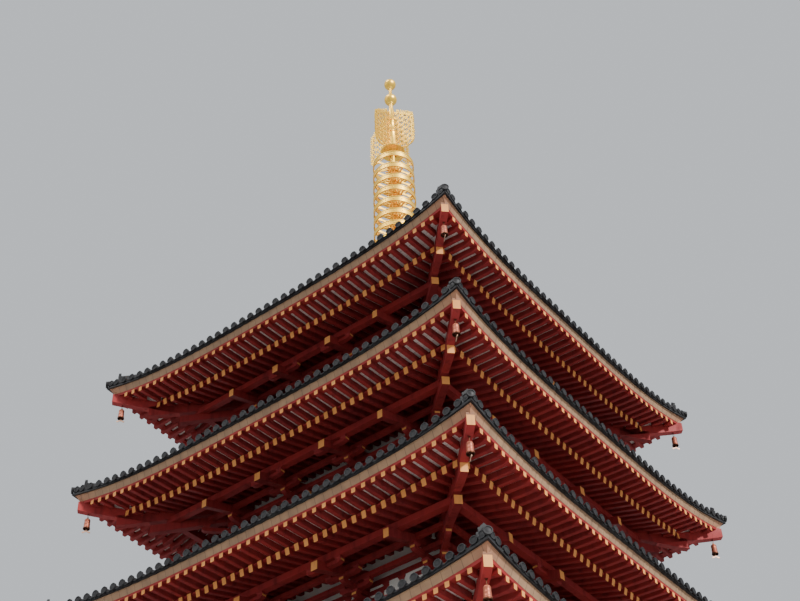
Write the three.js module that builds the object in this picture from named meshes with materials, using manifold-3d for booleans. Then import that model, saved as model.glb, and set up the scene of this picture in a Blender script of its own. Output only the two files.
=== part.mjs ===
// A five-storey square pagoda of red timber, white plaster and dark roof tiles, with a gilded finial.
// Units are millimetres, +Z is up, and the origin is at the centre of the podium's foot.
// The front faces -Y. One side is drawn facing +X and turned about Z for the other three.

import * as THREE from "three";
import { mergeGeometries, mergeVertices } from "three/addons/utils/BufferGeometryUtils.js";
import Module from "manifold-3d";

const wasm = await Module();
wasm.setup();

// Driving dimensions. Everything along the eaves follows the pitch of the round tiles.
const TILE_PITCH = 300;
const STOREYS = 5;
const FIRST_EAVE = 6300;
const STOREY_RISE = 12.3 * TILE_PITCH;
const TOP_EAVE_HALF = 19.73 * TILE_PITCH;
const EAVE_STEP = 1.21 * TILE_PITCH;
const OVERHANG = 11.23 * TILE_PITCH;
const CORNER_RISE = 1.22 * TILE_PITCH;
const CORNER_BOW = 0.384 * TILE_PITCH;
const RISE_POWER = 4.5;

// Pieces that touch keep a gap, and shapes fused into one solid run into each other by the overlap.
const GAP = 0.3;
const OVERLAP = 10;

// Heights measured down or up from a storey's eave line, the centre of its end tiles.
const COLUMN_TOP = -1370;
const PLATE_TOP = -1130;
const DECK_ABOVE_EAVE = 1450;
const ROOF_HEAD = 1080;

const PODIUM = { half: 5300, height: 1200, copingHeight: 180, copingReach: 70 };
const STEPS = { risers: 7, tread: 300, width: 2600, cheekWidth: 320, cheekRise: 160, cheekRun: 200 };

const COLUMN_SIDES = 8;
const BAY_SPLIT = 0.365;
const PILLAR = { radius: 300, hole: 380 };
const WALL_SETBACK = 30;
const PLATE_REACH = 30;

const RAFTER_SLOPE = 0.28;
const SOFFIT = {
  innerInset: 250, baseDepth: 140,
  baseTipInset: 889, baseTipFoot: -635, baseTipHeight: 200, baseRise: 200, baseBow: 60,
  flyTipInset: 169, flyTipFoot: -460, fasciaReach: 80, fasciaTop: -90, edgeRise: CORNER_RISE + 13,
};
const CORNER_BEAM = {
  width: 180, flyStart: 500, flyEndInset: 9, flyEnd: { foot: -270, top: -15 }, flyHeel: { foot: -615, top: -370 },
  baseEndInset: 759, baseEnd: { foot: -740, top: -440 }, baseHeelTop: -250, behindPurlin: 15,
};
const ROOF = { edgeReach: 60, edgeFoot: -90, edgeTop: 45, depth: 160, sag: 0.2, topSag: 0.42, headInset: 60 };
const RIDGE = { height: 260, headHeight: 190, halfWidth: 190, batter: 25 };
const TILE_ROWS = { reach: 81, perRib: 4 };
const RIB = { halfWidth: 85, height: 62, hipGap: 25, shortest: 400, topStop: 560 };
const BRACKET = { bandHalf: 70, armWidth: 150, cornerArmWidth: 180 };
const PURLIN = { inner: 1500, outer: 1680, height: 180 };
const WAIST = { inner: 380, outer: 520 };
const FLOOR = { thickness: 120, reach: 950 };
const RAILING = {
  line: 850, postHalf: 38, sill: { half: 55, foot: GAP, top: 100 }, rail: { half: 40, foot: 640, top: 720 },
};

const FINIAL = {
  boxFoot: 4150, boxHeight: 600, boxHalf: 420, corniceHeight: 90, corniceHalf: 490, bowlTop: 5640, sides: 12,
  ringTop: 10464, ringStep: 561, rings: 9, ringHeight: 240, ringWall: 26,
  ringRadiusTop: 690, ringRadiusLow: 735, shaft: 80,
  sleeveFoot: 11190, dish: 11250, dishRadius: 423, flameTop: 13560, flameReach: 1035, sleeveTop: 13580,
  lowerBall: 14100, lowerBallRadius: 225, upperBall: 14963, upperBallRadius: 211,
};

const BELL = {
  insetFromEave: 219, hinge: -400, loopHalf: 20, loopBar: 12, stapleBar: 6, sides: 8,
  crown: -110, shoulder: -145, flare: -390, mouth: -445,
  crownRadius: 40, shoulderRadius: 76, flareRadius: 86, mouthRadius: 97, wall: 12,
  rodRadius: 7, finTop: -470, finFoot: -560, finHalf: 45, finThickness: 16,
};

const storeys = Array.from({ length: STOREYS }, (_, index) => {
  const number = index + 1;
  const eave = FIRST_EAVE + index * STOREY_RISE;
  const eaveHalf = TOP_EAVE_HALF + (STOREYS - number) * EAVE_STEP;
  const ground = number === 1;
  return {
    number, eave, eaveHalf, ground,
    bodyHalf: eaveHalf - OVERHANG,
    floor: ground ? PODIUM.height : eave - STOREY_RISE + DECK_ABOVE_EAVE,
    columnRadius: ground ? 240 : 190,
    wallDepth: ground ? 280 : 230,
    baseTip: eaveHalf - SOFFIT.baseTipInset,
    flyTip: eaveHalf - SOFFIT.flyTipInset,
    threshold: ground ? 250 : 130,
    head: ground ? { foot: 2900, top: 3110 } : { foot: 720, top: 850 },
    window: ground ? { width: 1700, foot: 1250, top: 2450 } : { width: 860, foot: 220, top: 640 },
    door: ground ? { width: 1900, jamb: 200, reach: 90 } : { width: 1050, jamb: 50, reach: 40 },
  };
});

// Materials, from the photo.
const paint = (color, roughness, metalness = 0) =>
  new THREE.MeshStandardMaterial({ color, roughness, metalness });
const vermilion = paint(0xa8322a, 0.55);
const plaster = paint(0xf0ebe0, 0.9);
const tile = paint(0x3a3d3c, 0.6);
const stone = paint(0xb9b4a8, 0.9);
const timber = paint(0x8a6b4a, 0.8);
const gilt = paint(0xe0a83a, 0.3, 1);
const bronze = paint(0x8a5a34, 0.45, 1);

// Solids
function solid(geometry) {
  const bare = geometry.clone();
  bare.deleteAttribute("normal");
  bare.deleteAttribute("uv");
  const merged = mergeVertices(bare, 1e-3);
  return new wasm.Manifold(new wasm.Mesh({
    numProp: 3,
    vertProperties: new Float32Array(merged.attributes.position.array),
    triVerts: new Uint32Array(merged.index.array),
  }));
}

function geometryOf(body) {
  const mesh = body.getMesh();
  const geometry = new THREE.BufferGeometry();
  geometry.setAttribute("position", new THREE.BufferAttribute(new Float32Array(mesh.vertProperties), 3));
  geometry.setIndex(new THREE.BufferAttribute(new Uint32Array(mesh.triVerts), 1));
  return geometry;
}

const join = (bodies) => bodies.reduce((whole, body) => whole.add(body));
const cut = (body, tools) => tools.reduce((rest, tool) => rest.subtract(tool), body);

function box(low, high) {
  const size = high.map((value, axis) => value - low[axis]);
  const centre = high.map((value, axis) => (value + low[axis]) / 2);
  return new THREE.BoxGeometry(...size).translate(...centre);
}

function post(radius, foot, top, sides) {
  return new THREE.CylinderGeometry(radius, radius, top - foot, sides)
    .rotateX(Math.PI / 2)
    .translate(0, 0, (foot + top) / 2);
}

function turned(profile, sides) {
  const points = profile.map(([radius, height]) => new THREE.Vector2(radius, height));
  return new THREE.LatheGeometry(points, sides).rotateX(Math.PI / 2);
}

// A slab cut to an outline drawn as [distance out, height], standing upright across +X.
function upright(outline, thickness) {
  const shape = new THREE.Shape(outline.map(([out, height]) => new THREE.Vector2(out, height)));
  return new THREE.ExtrudeGeometry(shape, { depth: thickness, bevelEnabled: false })
    .translate(0, 0, -thickness / 2)
    .rotateX(Math.PI / 2);
}

function squareRing(inner, outer, foot, top) {
  const square = (path, half) => path.moveTo(-half, -half).lineTo(half, -half)
    .lineTo(half, half).lineTo(-half, half).lineTo(-half, -half);
  const shape = new THREE.Shape();
  square(shape, outer);
  const hole = new THREE.Path();
  square(hole, inner);
  shape.holes.push(hole);
  return new THREE.ExtrudeGeometry(shape, { depth: top - foot, bevelEnabled: false }).translate(0, 0, foot);
}

const onFourSides = (geometry) =>
  [0, 1, 2, 3].map((turn) => geometry.clone().rotateZ(turn * Math.PI / 2));

const onFourCorners = (geometry) =>
  onFourSides(geometry.clone().rotateZ(-Math.PI / 4));

// A surface gathered point by point, in millimetres along X, Y and Z.
class Skin {
  positions = [];
  triangles = [];

  put(x, y, z) {
    this.positions.push(x, y, z);
    return this.positions.length / 3 - 1;
  }

  quad(a, b, c, d) {
    this.triangles.push(a, b, c, a, c, d);
  }

  // Fills between two lines that both run towards +Y.
  strip(lower, upper, facesOut) {
    const along = (point) => this.positions[3 * point + 1];
    let [low, high] = [0, 0];
    while (low < lower.length - 1 || high < upper.length - 1) {
      const below = high === upper.length - 1
        || (low < lower.length - 1 && along(lower[low + 1]) < along(upper[high + 1]));
      const corner = below ? lower[low + 1] : upper[high + 1];
      this.triangles.push(...(facesOut ? [lower[low], corner, upper[high]] : [lower[low], upper[high], corner]));
      if (below) low++;
      else high++;
    }
  }

  // Fills an outline that faces up.
  fill(outline) {
    const flat = outline.map((point) => new THREE.Vector2(...this.positions.slice(3 * point, 3 * point + 2)));
    for (const [first, second, third] of THREE.ShapeUtils.triangulateShape(flat, [])) {
      const [ahead, aside] = [second, third].map((corner) => flat[corner].clone().sub(flat[first]));
      const order = ahead.cross(aside) > 0 ? [first, second, third] : [first, third, second];
      this.triangles.push(...order.map((corner) => outline[corner]));
    }
  }

  geometry() {
    const geometry = new THREE.BufferGeometry();
    geometry.setAttribute("position", new THREE.Float32BufferAttribute(this.positions, 3));
    geometry.setIndex(this.triangles);
    return geometry;
  }
}

// Eaves and roofs are one section carried round the square. The eave lifts and bows towards its corners.
const cornerShare = (along, half) => Math.abs(along / half) ** RISE_POWER;
const SIDE_STATIONS = [-1, -0.85, -0.6, 0, 0.6, 0.85, 1];

function stationsOfSide(inset, ridgeWidth) {
  const side = SIDE_STATIONS.map((share) => ({ share, inset, raised: false }));
  if (!ridgeWidth) return side.slice(0, -1);
  return [
    { share: -1, inset: 0, raised: true },
    { share: -1, inset: inset - ridgeWidth, raised: true },
    ...side,
    { share: 1, inset: inset - ridgeWidth, raised: true },
  ];
}

// A section point is { out, height, rise, bow, ridge }. The first rows of faces may be left open between
// the ridges.
function carriedRound(section, inset = 0, ridgeWidth = 0, openRows = 0) {
  const stations = stationsOfSide(inset, ridgeWidth);
  const skin = new Skin();
  for (let turn = 0; turn < 4; turn++) {
    const [cosine, sine] = [[1, 0], [0, 1], [-1, 0], [0, -1]][turn];
    for (const station of stations) {
      for (const { out, height, rise = 0, bow = 0, ridge = 0 } of section) {
        const cornerOut = out + bow;
        const along = station.share * (cornerOut - station.inset);
        const share = cornerShare(along, cornerOut);
        const x = out + bow * share;
        const z = height + rise * share + (station.raised ? ridge : 0);
        skin.put(cosine * x - sine * along, sine * x + cosine * along, z);
      }
    }
  }
  const columns = 4 * stations.length;
  const rows = section.length;
  for (let column = 0; column < columns; column++) {
    const next = (column + 1) % columns;
    const onRidge = [column, next].some((place) => stations[place % stations.length].raised);
    for (let row = onRidge ? 0 : openRows; row < rows; row++) {
      const up = (row + 1) % rows;
      skin.quad(column * rows + row, next * rows + row, next * rows + up, column * rows + up);
    }
  }
  return skin.geometry();
}

// Columns, tie beams, wall plate and, on the upper storeys, the shut door leaves.
const columnPlaces = (half) => [-half, -BAY_SPLIT * half, BAY_SPLIT * half]
  .flatMap((along) => [[half, along], [-along, half], [-half, -along], [along, -half]]);

function frame({ eave, floor, bodyHalf, columnRadius, head, door, ground }) {
  const columns = columnPlaces(bodyHalf).map(([x, y]) =>
    solid(post(columnRadius, floor + GAP, eave + COLUMN_TOP + OVERLAP, COLUMN_SIDES).translate(x, y, 0)));
  const face = bodyHalf - WALL_SETBACK + GAP;
  const plateHalf = columnRadius + PLATE_REACH;
  const plate = squareRing(bodyHalf - plateHalf, bodyHalf + plateHalf, eave + COLUMN_TOP, eave + PLATE_TOP);
  const tie = squareRing(face, bodyHalf + plateHalf, floor + head.foot, floor + head.top);
  const doorTop = (ground ? floor + head.foot : eave + COLUMN_TOP) + OVERLAP;
  const filling = (low, high) => box([face, low, floor + GAP], [bodyHalf + door.reach, high, doorTop]);
  const edge = door.width / 2;
  const outerEdge = edge + door.jamb;
  const fillings = ground
    ? [filling(-outerEdge, -edge), filling(edge, outerEdge)]
    : [filling(-outerEdge, outerEdge)];
  return join([...columns, ...[plate, ...(ground ? [tie] : []), ...fillings.flatMap(onFourSides)].map(solid)]);
}

// Plaster walls with the doorways and windows cut through them and the columns let in half way.
function walls({ eave, floor, bodyHalf, columnRadius, wallDepth, window, door, threshold, head }) {
  const outer = bodyHalf - WALL_SETBACK;
  const inner = outer - wallDepth;
  const ring = solid(squareRing(inner, outer, floor + GAP, eave + COLUMN_TOP - GAP));
  const flat = Math.cos(Math.PI / COLUMN_SIDES);
  const seatRadius = (columnRadius * flat + GAP) / flat;
  const seats = columnPlaces(bodyHalf).map(([x, y]) =>
    solid(post(seatRadius, floor - OVERLAP, eave + COLUMN_TOP + OVERLAP, COLUMN_SIDES).translate(x, y, 0)));
  const past = 2 * OVERLAP;
  const opening = (centre, width, foot, top) =>
    box([inner - past, centre - width / 2, floor + foot], [outer + past, centre + width / 2, floor + top]);
  const bayCentre = bodyHalf * (1 + BAY_SPLIT) / 2;
  const doorway = opening(0, door.width, threshold, head.foot);
  const windows = [-1, 1].map((way) => opening(way * bayCentre, window.width, window.foot, window.top));
  return cut(ring, [...seats, ...[doorway, ...windows].flatMap(onFourSides).map(solid)]);
}

// The bracket sets step out from each column to the eave purlin, with a slanting tail beam in each.
const bracketOutline = (half, eave) => [
  [half, PLATE_TOP + GAP], [half + 200, PLATE_TOP + GAP], [half + 620, -900], [half + 1170, -710],
  [half + 1980, -940], [half + 1980, -710], [half, -106],
].map(([out, height]) => [out, eave + height]);

function brackets(storey) {
  const { eave, bodyHalf } = storey;
  const soffitAt = (out) => eave + soffitFootAt(storey, out);
  const { bandHalf, armWidth, cornerArmWidth } = BRACKET;
  const band = squareRing(bodyHalf - bandHalf, bodyHalf + bandHalf,
    eave + PLATE_TOP + GAP, soffitAt(bodyHalf + bandHalf) - GAP);
  const purlinTop = soffitAt(bodyHalf + PURLIN.outer) - GAP;
  const purlinFoot = purlinTop - PURLIN.height;
  const purlin = squareRing(bodyHalf + PURLIN.inner, bodyHalf + PURLIN.outer, purlinFoot, purlinTop);
  const outline = bracketOutline(bodyHalf, eave);
  const straight = [-BAY_SPLIT, BAY_SPLIT]
    .map((share) => upright(outline, armWidth).translate(0, share * bodyHalf, 0));
  const onDiagonal = outline.map(([out, height]) => [out * Math.SQRT2, height]);
  const diagonal = onFourCorners(upright(onDiagonal, cornerArmWidth));
  return join([band, purlin, ...straight.flatMap(onFourSides), ...diagonal].map(solid));
}

// Two tiers of rafters with their boards as one sloping ring, the eave fascia, and the corner beams.
const soffitInner = ({ bodyHalf }) => bodyHalf - SOFFIT.innerInset;
const soffitFootAt = ({ baseTip }, out) => SOFFIT.baseTipFoot + RAFTER_SLOPE * (baseTip - out);
const ledgeHeight = (storey) => soffitFootAt(storey, soffitInner(storey)) + SOFFIT.baseDepth;

function soffitSection(storey) {
  const { eave, bodyHalf, baseTip, flyTip } = storey;
  const foot = SOFFIT.baseTipFoot;
  const inner = soffitInner(storey);
  const base = { rise: SOFFIT.baseRise, bow: SOFFIT.baseBow };
  const fly = { rise: SOFFIT.edgeRise, bow: CORNER_BOW };
  return [
    { out: inner, height: soffitFootAt(storey, inner) },
    { out: baseTip, height: foot, ...base },
    { out: baseTip, height: foot + SOFFIT.baseTipHeight, ...base },
    { out: flyTip, height: SOFFIT.flyTipFoot, ...fly },
    { out: flyTip + SOFFIT.fasciaReach, height: SOFFIT.fasciaTop, ...fly },
    { out: bodyHalf + WAIST.outer, height: ledgeHeight(storey) },
    { out: inner, height: ledgeHeight(storey) },
  ].map((point) => ({ ...point, height: eave + point.height }));
}

function cornerBeams({ eave, eaveHalf, bodyHalf, baseTip }) {
  const { width, flyStart, flyEndInset, flyEnd, flyHeel } = CORNER_BEAM;
  const { baseEndInset, baseEnd, baseHeelTop, behindPurlin } = CORNER_BEAM;
  const flyHeelOut = baseTip - flyStart;
  const flyEndOut = eaveHalf - flyEndInset;
  const baseEndOut = eaveHalf - baseEndInset;
  const baseHeelOut = bodyHalf + PURLIN.outer + behindPurlin;
  const baseHeelFoot = baseEnd.foot + RAFTER_SLOPE * (baseEndOut - baseHeelOut);
  const flying = [
    [flyHeelOut, flyHeel.foot], [flyEndOut, flyEnd.foot], [flyEndOut, flyEnd.top], [flyHeelOut, flyHeel.top],
  ];
  const base = [
    [baseHeelOut, baseHeelFoot], [baseEndOut, baseEnd.foot], [baseEndOut, baseEnd.top], [baseHeelOut, baseHeelTop],
  ];
  return [flying, base].flatMap((outline) => onFourCorners(
    upright(outline.map(([half, height]) => [half * Math.SQRT2, eave + height]), width)));
}

// Wind bells hang from the corner beams, each by its loop on the cross bar of a staple.
const bellHalf = ({ eaveHalf }) => eaveHalf - BELL.insetFromEave;
const bellHinge = ({ eave }) => eave + BELL.hinge;

function staple() {
  const { stapleBar } = BELL;
  const inner = 20;
  const outer = 30;
  const legTop = 110;
  return upright([
    [-outer, legTop], [-outer, -stapleBar], [outer, -stapleBar], [outer, legTop],
    [inner, legTop], [inner, stapleBar], [-inner, stapleBar], [-inner, legTop],
  ], 5).rotateZ(Math.PI / 2);
}

function bellBody() {
  const { wall } = BELL;
  return solid(turned([
    [0, BELL.crown], [BELL.crownRadius, BELL.crown], [BELL.shoulderRadius, BELL.shoulder],
    [BELL.flareRadius, BELL.flare], [BELL.mouthRadius, BELL.mouth],
    [BELL.mouthRadius - wall, BELL.mouth], [BELL.flareRadius - wall, BELL.flare],
    [BELL.shoulderRadius - wall, BELL.shoulder - wall],
    [0, BELL.crown - 2 * wall],
  ].reverse(), BELL.sides));
}

function bell() {
  const reach = BELL.loopHalf;
  const seat = BELL.stapleBar + 0.8;
  const loop = box([-reach, -8, BELL.crown - 5], [reach, 8, seat + BELL.loopBar]);
  const eye = box([-reach + 8, -20, BELL.crown + 25], [reach - 8, 20, seat]);
  const rod = post(BELL.rodRadius, BELL.finTop - 10, BELL.crown - 10, 6);
  const { finHalf, finThickness, finFoot, finTop } = BELL;
  const fin = box([-finHalf, -finThickness / 2, finFoot], [finHalf, finThickness / 2, finTop]);
  return join([bellBody(), solid(loop).subtract(solid(eye)), solid(rod), solid(fin)]);
}

function fixedBell() {
  const strap = box([-8, -8, BELL.crown - 5], [8, 8, 110]);
  const body = turned([
    [0, BELL.crown - 2 * BELL.wall], [BELL.shoulderRadius - BELL.wall, BELL.shoulder - BELL.wall],
    [BELL.mouthRadius - BELL.wall, BELL.mouth], [BELL.mouthRadius, BELL.mouth],
    [BELL.shoulderRadius, BELL.shoulder], [0, BELL.crown],
  ], 6);
  return join([body, strap].map(solid));
}

const atCorners = (storey, geometry) => {
  const half = bellHalf(storey);
  return onFourCorners(geometry.clone().translate(half * Math.SQRT2, 0, bellHinge(storey)));
};

function eaves(storey) {
  const hangers = storey.number > 3
    ? atCorners(storey, staple())
    : atCorners(storey, geometryOf(fixedBell()));
  return join([carriedRound(soffitSection(storey)), ...cornerBeams(storey), ...hangers].map(solid));
}

// Tiled roofs: a shell with a sagging slope, and a hip ridge on each corner set back from the eave.
function roofSection({ eave, eaveHalf, number }) {
  const top = number === STOREYS;
  const head = top
    ? { out: FINIAL.boxHalf - ROOF.headInset, height: FINIAL.boxFoot }
    : { out: storeys[number].bodyHalf + WAIST.outer + GAP, height: ROOF_HEAD };
  const foot = { out: eaveHalf + ROOF.edgeReach, height: ROOF.edgeTop };
  const sag = top ? ROOF.topSag : ROOF.sag;
  const shares = top ? [0.15, 0.5] : [0.3];
  const slope = shares.map((share) => ({
    out: foot.out + (head.out - foot.out) * share,
    height: foot.height + (head.height - foot.height) * (share * (1 - sag) + sag * share ** 2),
    rise: CORNER_RISE * (1 - share) ** 1.5, bow: CORNER_BOW * (1 - share), ridge: RIDGE.height,
  }));
  const edge = { rise: SOFFIT.edgeRise, bow: CORNER_BOW };
  const under = slope.map((point) => ({ ...point, height: point.height - ROOF.depth, ridge: 0 })).reverse();
  return [
    { out: foot.out, height: ROOF.edgeFoot + GAP, ...edge },
    { out: foot.out, height: foot.height, ...edge },
    ...slope,
    { ...head, ridge: top ? 0 : RIDGE.headHeight },
    { out: head.out, height: head.height - ROOF.depth },
    ...under,
  ].map((point) => ({ ...point, height: eave + point.height }));
}

const cornerOut = ({ out, bow = 0 }) => out + bow;

const between = (low, high, share) => Object.fromEntries(["out", "height", "rise", "bow"].map((key) =>
  [key, (low[key] ?? 0) * (1 - share) + (high[key] ?? 0) * share]));

// A rib stands on every fourth row of round tiles, counted from the middle of the side.
function ribPlaces({ eaveHalf }) {
  const reach = eaveHalf + TILE_ROWS.reach;
  const spacing = TILE_ROWS.perRib * reach / Math.round(reach / TILE_PITCH);
  const last = Math.floor((reach - RIB.shortest) / spacing);
  return Array.from({ length: 2 * last + 1 }, (_, index) => (index - last) * spacing);
}

// One side of a roof, from its eave edge to its head. Its ribs run up to the head, or stop just short of
// the hip ridge or the finial's base box.
function ribbedSide(storey, section, headRow) {
  const nearest = storey.number === STOREYS ? RIB.topStop : 0;
  const skin = new Skin();
  const put = (point, along, lift = 0) => {
    const { out, height, rise = 0, bow = 0 } = point;
    const share = cornerShare(along, cornerOut(point));
    return skin.put(out + bow * share, along, height + rise * share + lift);
  };
  const pointAt = (row, share) => put(section[row], share * (cornerOut(section[row]) - RIDGE.halfWidth));

  const stopOf = (point, along) => ({
    left: put(point, along - RIB.halfWidth),
    crest: put(point, along, RIB.height),
    right: put(point, along + RIB.halfWidth),
  });
  const ribs = ribPlaces(storey).map((along) => {
    const reach = Math.max(nearest, Math.abs(along) + RIB.halfWidth + RIDGE.halfWidth + RIB.hipGap);
    const slope = section.slice(1, headRow + 1);
    const rows = slope.filter((point) => cornerOut(point) > reach).length;
    const stops = slope.slice(0, rows).map((point) => stopOf(point, along));
    if (rows < headRow) {
      const [low, high] = slope.slice(rows - 1, rows + 1);
      const share = (cornerOut(low) - reach) / (cornerOut(low) - cornerOut(high));
      stops.push(stopOf(between(low, high, share), along));
    }
    return { rows, stops };
  });

  for (const { stops } of ribs) {
    const [start, end] = [stops[0], stops.at(-1)];
    skin.triangles.push(start.left, start.right, start.crest, end.left, end.crest, end.right);
    for (let stop = 1; stop < stops.length; stop++) {
      const [low, high] = [stops[stop - 1], stops[stop]];
      skin.quad(low.left, low.crest, high.crest, high.left);
      skin.quad(low.crest, low.right, high.right, high.crest);
    }
  }

  // The slope itself, row by row, in panels from one rib that crosses the row to the next.
  for (let row = 1; row < headRow; row++) {
    let panel = [pointAt(row + 1, -1), pointAt(row, -1)];
    for (const { rows, stops } of ribs.filter((rib) => rib.rows >= row)) {
      const [low, high] = [stops[row - 1], stops[row]];
      if (rows === row) {
        panel.push(low.left, high.left, high.right, low.right);
      } else {
        skin.fill([...panel, low.left, high.left]);
        panel = [high.right, low.right];
      }
    }
    skin.fill([...panel, pointAt(row, 1), pointAt(row + 1, 1)]);
  }

  const ribbedLine = (row) => [
    pointAt(row, -1),
    ...ribs.filter((rib) => rib.rows >= row).flatMap(({ stops }) => [stops[row - 1].left, stops[row - 1].right]),
    pointAt(row, 1),
  ];
  const plainLine = (row) => SIDE_STATIONS.map((share) => pointAt(row, share));
  skin.strip(plainLine(0), ribbedLine(1), true);
  skin.strip(plainLine(headRow + 1), ribbedLine(headRow), false);
  return skin.geometry();
}

function roof(storey) {
  const section = roofSection(storey);
  const headRow = section.length / 2;
  const hips = carriedRound(section, RIDGE.halfWidth, RIDGE.batter, headRow + 1);
  return solid(mergeGeometries([hips, ...onFourSides(ribbedSide(storey, section, headRow))]));
}

// Each upper storey stands on a floor that runs out as a balcony, over a low plastered waist.
function upperFloor({ number, floor, bodyHalf }) {
  const below = storeys[number - 2];
  const deckFoot = floor - FLOOR.thickness;
  const waistFoot = below.eave + ledgeHeight(below) + GAP;
  return join([
    squareRing(PILLAR.hole, bodyHalf + FLOOR.reach, deckFoot, floor),
    squareRing(bodyHalf + WAIST.inner, bodyHalf + WAIST.outer, waistFoot, deckFoot + OVERLAP),
  ].map(solid));
}

function railing({ floor, bodyHalf }) {
  const { sill, rail, postHalf } = RAILING;
  const line = bodyHalf + RAILING.line;
  const bars = [sill, rail].map(({ half, foot, top }) =>
    squareRing(line - half, line + half, floor + foot, floor + top));
  const posts = [-line, -BAY_SPLIT * bodyHalf, BAY_SPLIT * bodyHalf].flatMap((along) => onFourSides(box(
    [line - postHalf, along - postHalf, floor + sill.top - OVERLAP],
    [line + postHalf, along + postHalf, floor + rail.foot + OVERLAP])));
  return join([...bars, ...posts].map(solid));
}

// Podium, steps and ground-floor doors
function podium() {
  const { half, height, copingHeight, copingReach } = PODIUM;
  const copingHalf = half + copingReach;
  const copingFoot = height - copingHeight;
  return join([
    box([-half, -half, 0], [half, half, copingFoot + OVERLAP]),
    box([-copingHalf, -copingHalf, copingFoot], [copingHalf, copingHalf, height]),
  ].map(solid));
}

function stepFlight() {
  const { risers, tread, width, cheekWidth, cheekRise, cheekRun } = STEPS;
  const riser = PODIUM.height / risers;
  const start = PODIUM.half + PODIUM.copingReach + GAP;
  const outline = [[start, 0]];
  for (let step = 1; step < risers; step++) {
    const out = start + (risers - step) * tread;
    outline.push([out, (step - 1) * riser], [out, step * riser]);
  }
  outline.push([start, (risers - 1) * riser]);
  const end = start + (risers - 1) * tread;
  const cheekEnd = end + cheekRun;
  const cheek = [
    [start, 0], [cheekEnd, 0], [cheekEnd, riser + cheekRise],
    [start + tread / 2, PODIUM.height], [start, PODIUM.height],
  ];
  const cheekCentre = (width + cheekWidth - OVERLAP) / 2;
  const cheeks = [-1, 1].map((way) => upright(cheek, cheekWidth).translate(0, way * cheekCentre, 0));
  return join([upright(outline, width), ...cheeks].map(solid));
}

function doorLeaf(way) {
  const { bodyHalf, floor, threshold, head, door } = storeys[0];
  const clearance = 3;
  const proud = 45;
  const edges = [clearance * way, (door.width / 2 - clearance) * way].sort((a, b) => a - b);
  return box([bodyHalf - WALL_SETBACK + GAP, edges[0], floor + threshold + GAP],
    [bodyHalf + proud, edges[1], floor + head.foot - clearance]);
}

// The finial: base box, bowl and lotus, nine rings on their shaft, flames and two jewels.
const topEave = storeys[STOREYS - 1].eave;

function finialBox() {
  const { boxFoot, boxHeight, boxHalf, corniceHeight, corniceHalf } = FINIAL;
  const foot = topEave + boxFoot + GAP;
  const top = foot + boxHeight;
  return join([
    box([-boxHalf, -boxHalf, foot], [boxHalf, boxHalf, top + OVERLAP]),
    box([-corniceHalf, -corniceHalf, top], [corniceHalf, corniceHalf, top + corniceHeight]),
  ].map(solid));
}

const bowlFoot = topEave + FINIAL.boxFoot + FINIAL.boxHeight + FINIAL.corniceHeight + 2 * GAP;
const bowlTop = topEave + FINIAL.bowlTop;

function finialBowl() {
  const rise = bowlTop - bowlFoot;
  return turned([
    [0, bowlFoot], [400, bowlFoot], [400, bowlFoot + 90], [350, bowlFoot + 0.3 * rise],
    [170, bowlFoot + 0.48 * rise], [190, bowlFoot + 0.56 * rise], [400, bowlFoot + 0.78 * rise],
    [470, bowlTop - 30], [440, bowlTop], [0, bowlTop],
  ], FINIAL.sides);
}

function finialRings() {
  const { rings, ringTop, ringStep, ringHeight, ringWall, ringRadiusTop, ringRadiusLow, shaft, sides } = FINIAL;
  const spokeHalf = { width: 16, height: 40 };
  const core = post(shaft, bowlTop + GAP, topEave + FINIAL.sleeveFoot, sides);
  const pieces = [solid(core)];
  for (let ring = 0; ring < rings; ring++) {
    const centre = topEave + ringTop - ring * ringStep;
    const radius = ringRadiusTop + (ringRadiusLow - ringRadiusTop) * ring / (rings - 1);
    const low = centre - ringHeight / 2;
    const high = centre + ringHeight / 2;
    const hole = post(radius - ringWall, low - OVERLAP, high + OVERLAP, sides);
    const band = solid(post(radius, low, high, sides)).subtract(solid(hole));
    const reach = radius - ringWall / 2;
    const { width, height } = spokeHalf;
    const spoke = box([-reach, -width, centre - height], [reach, width, centre + height]);
    pieces.push(band, ...[0, 1].map((turn) => solid(spoke.clone().rotateZ(Math.PI / sides + turn * Math.PI / 2))));
  }
  return join(pieces);
}

function finialFlames() {
  const { shaft, sleeveFoot, sleeveTop, dish, dishRadius, flameTop, flameReach, sides } = FINIAL;
  const foot = topEave + dish;
  const low = topEave + sleeveFoot + GAP;
  const radius = shaft + 20;
  const finThickness = 36;
  const sleeve = turned([
    [0, low], [shaft + 50, low], [dishRadius, foot - 10], [dishRadius, foot + 40], [radius, foot + 60],
    [radius, topEave + sleeveTop], [0, topEave + sleeveTop],
  ], sides);
  const fin = upright([
    [40, foot + 30], [dishRadius - 60, foot + 10], [dishRadius + 280, foot + 40], [flameReach, foot + 330],
    [flameReach - 10, foot + 900], [flameReach - 110, foot + 1560], [0.55 * flameReach, foot + 1950],
    [60, topEave + flameTop],
  ], finThickness);
  return join([sleeve, ...onFourSides(fin)].map(solid));
}

function finialJewels() {
  const { shaft, sleeveTop, lowerBall, lowerBallRadius, upperBall, upperBallRadius, sides } = FINIAL;
  const ball = (radius, centre) =>
    new THREE.SphereGeometry(radius, sides, 8).rotateX(Math.PI / 2).translate(0, 0, topEave + centre);
  return join([
    post(shaft, topEave + sleeveTop + GAP, topEave + upperBall, sides),
    ball(lowerBallRadius, lowerBall), ball(upperBallRadius, upperBall),
  ].map(solid));
}

// The heart pillar runs from the ground floor up to the finial's base box.
const pillar = () => post(PILLAR.radius, PODIUM.height + GAP, topEave + FINIAL.boxFoot, COLUMN_SIDES);

// The assembly
const pagoda = new THREE.Group();

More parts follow.
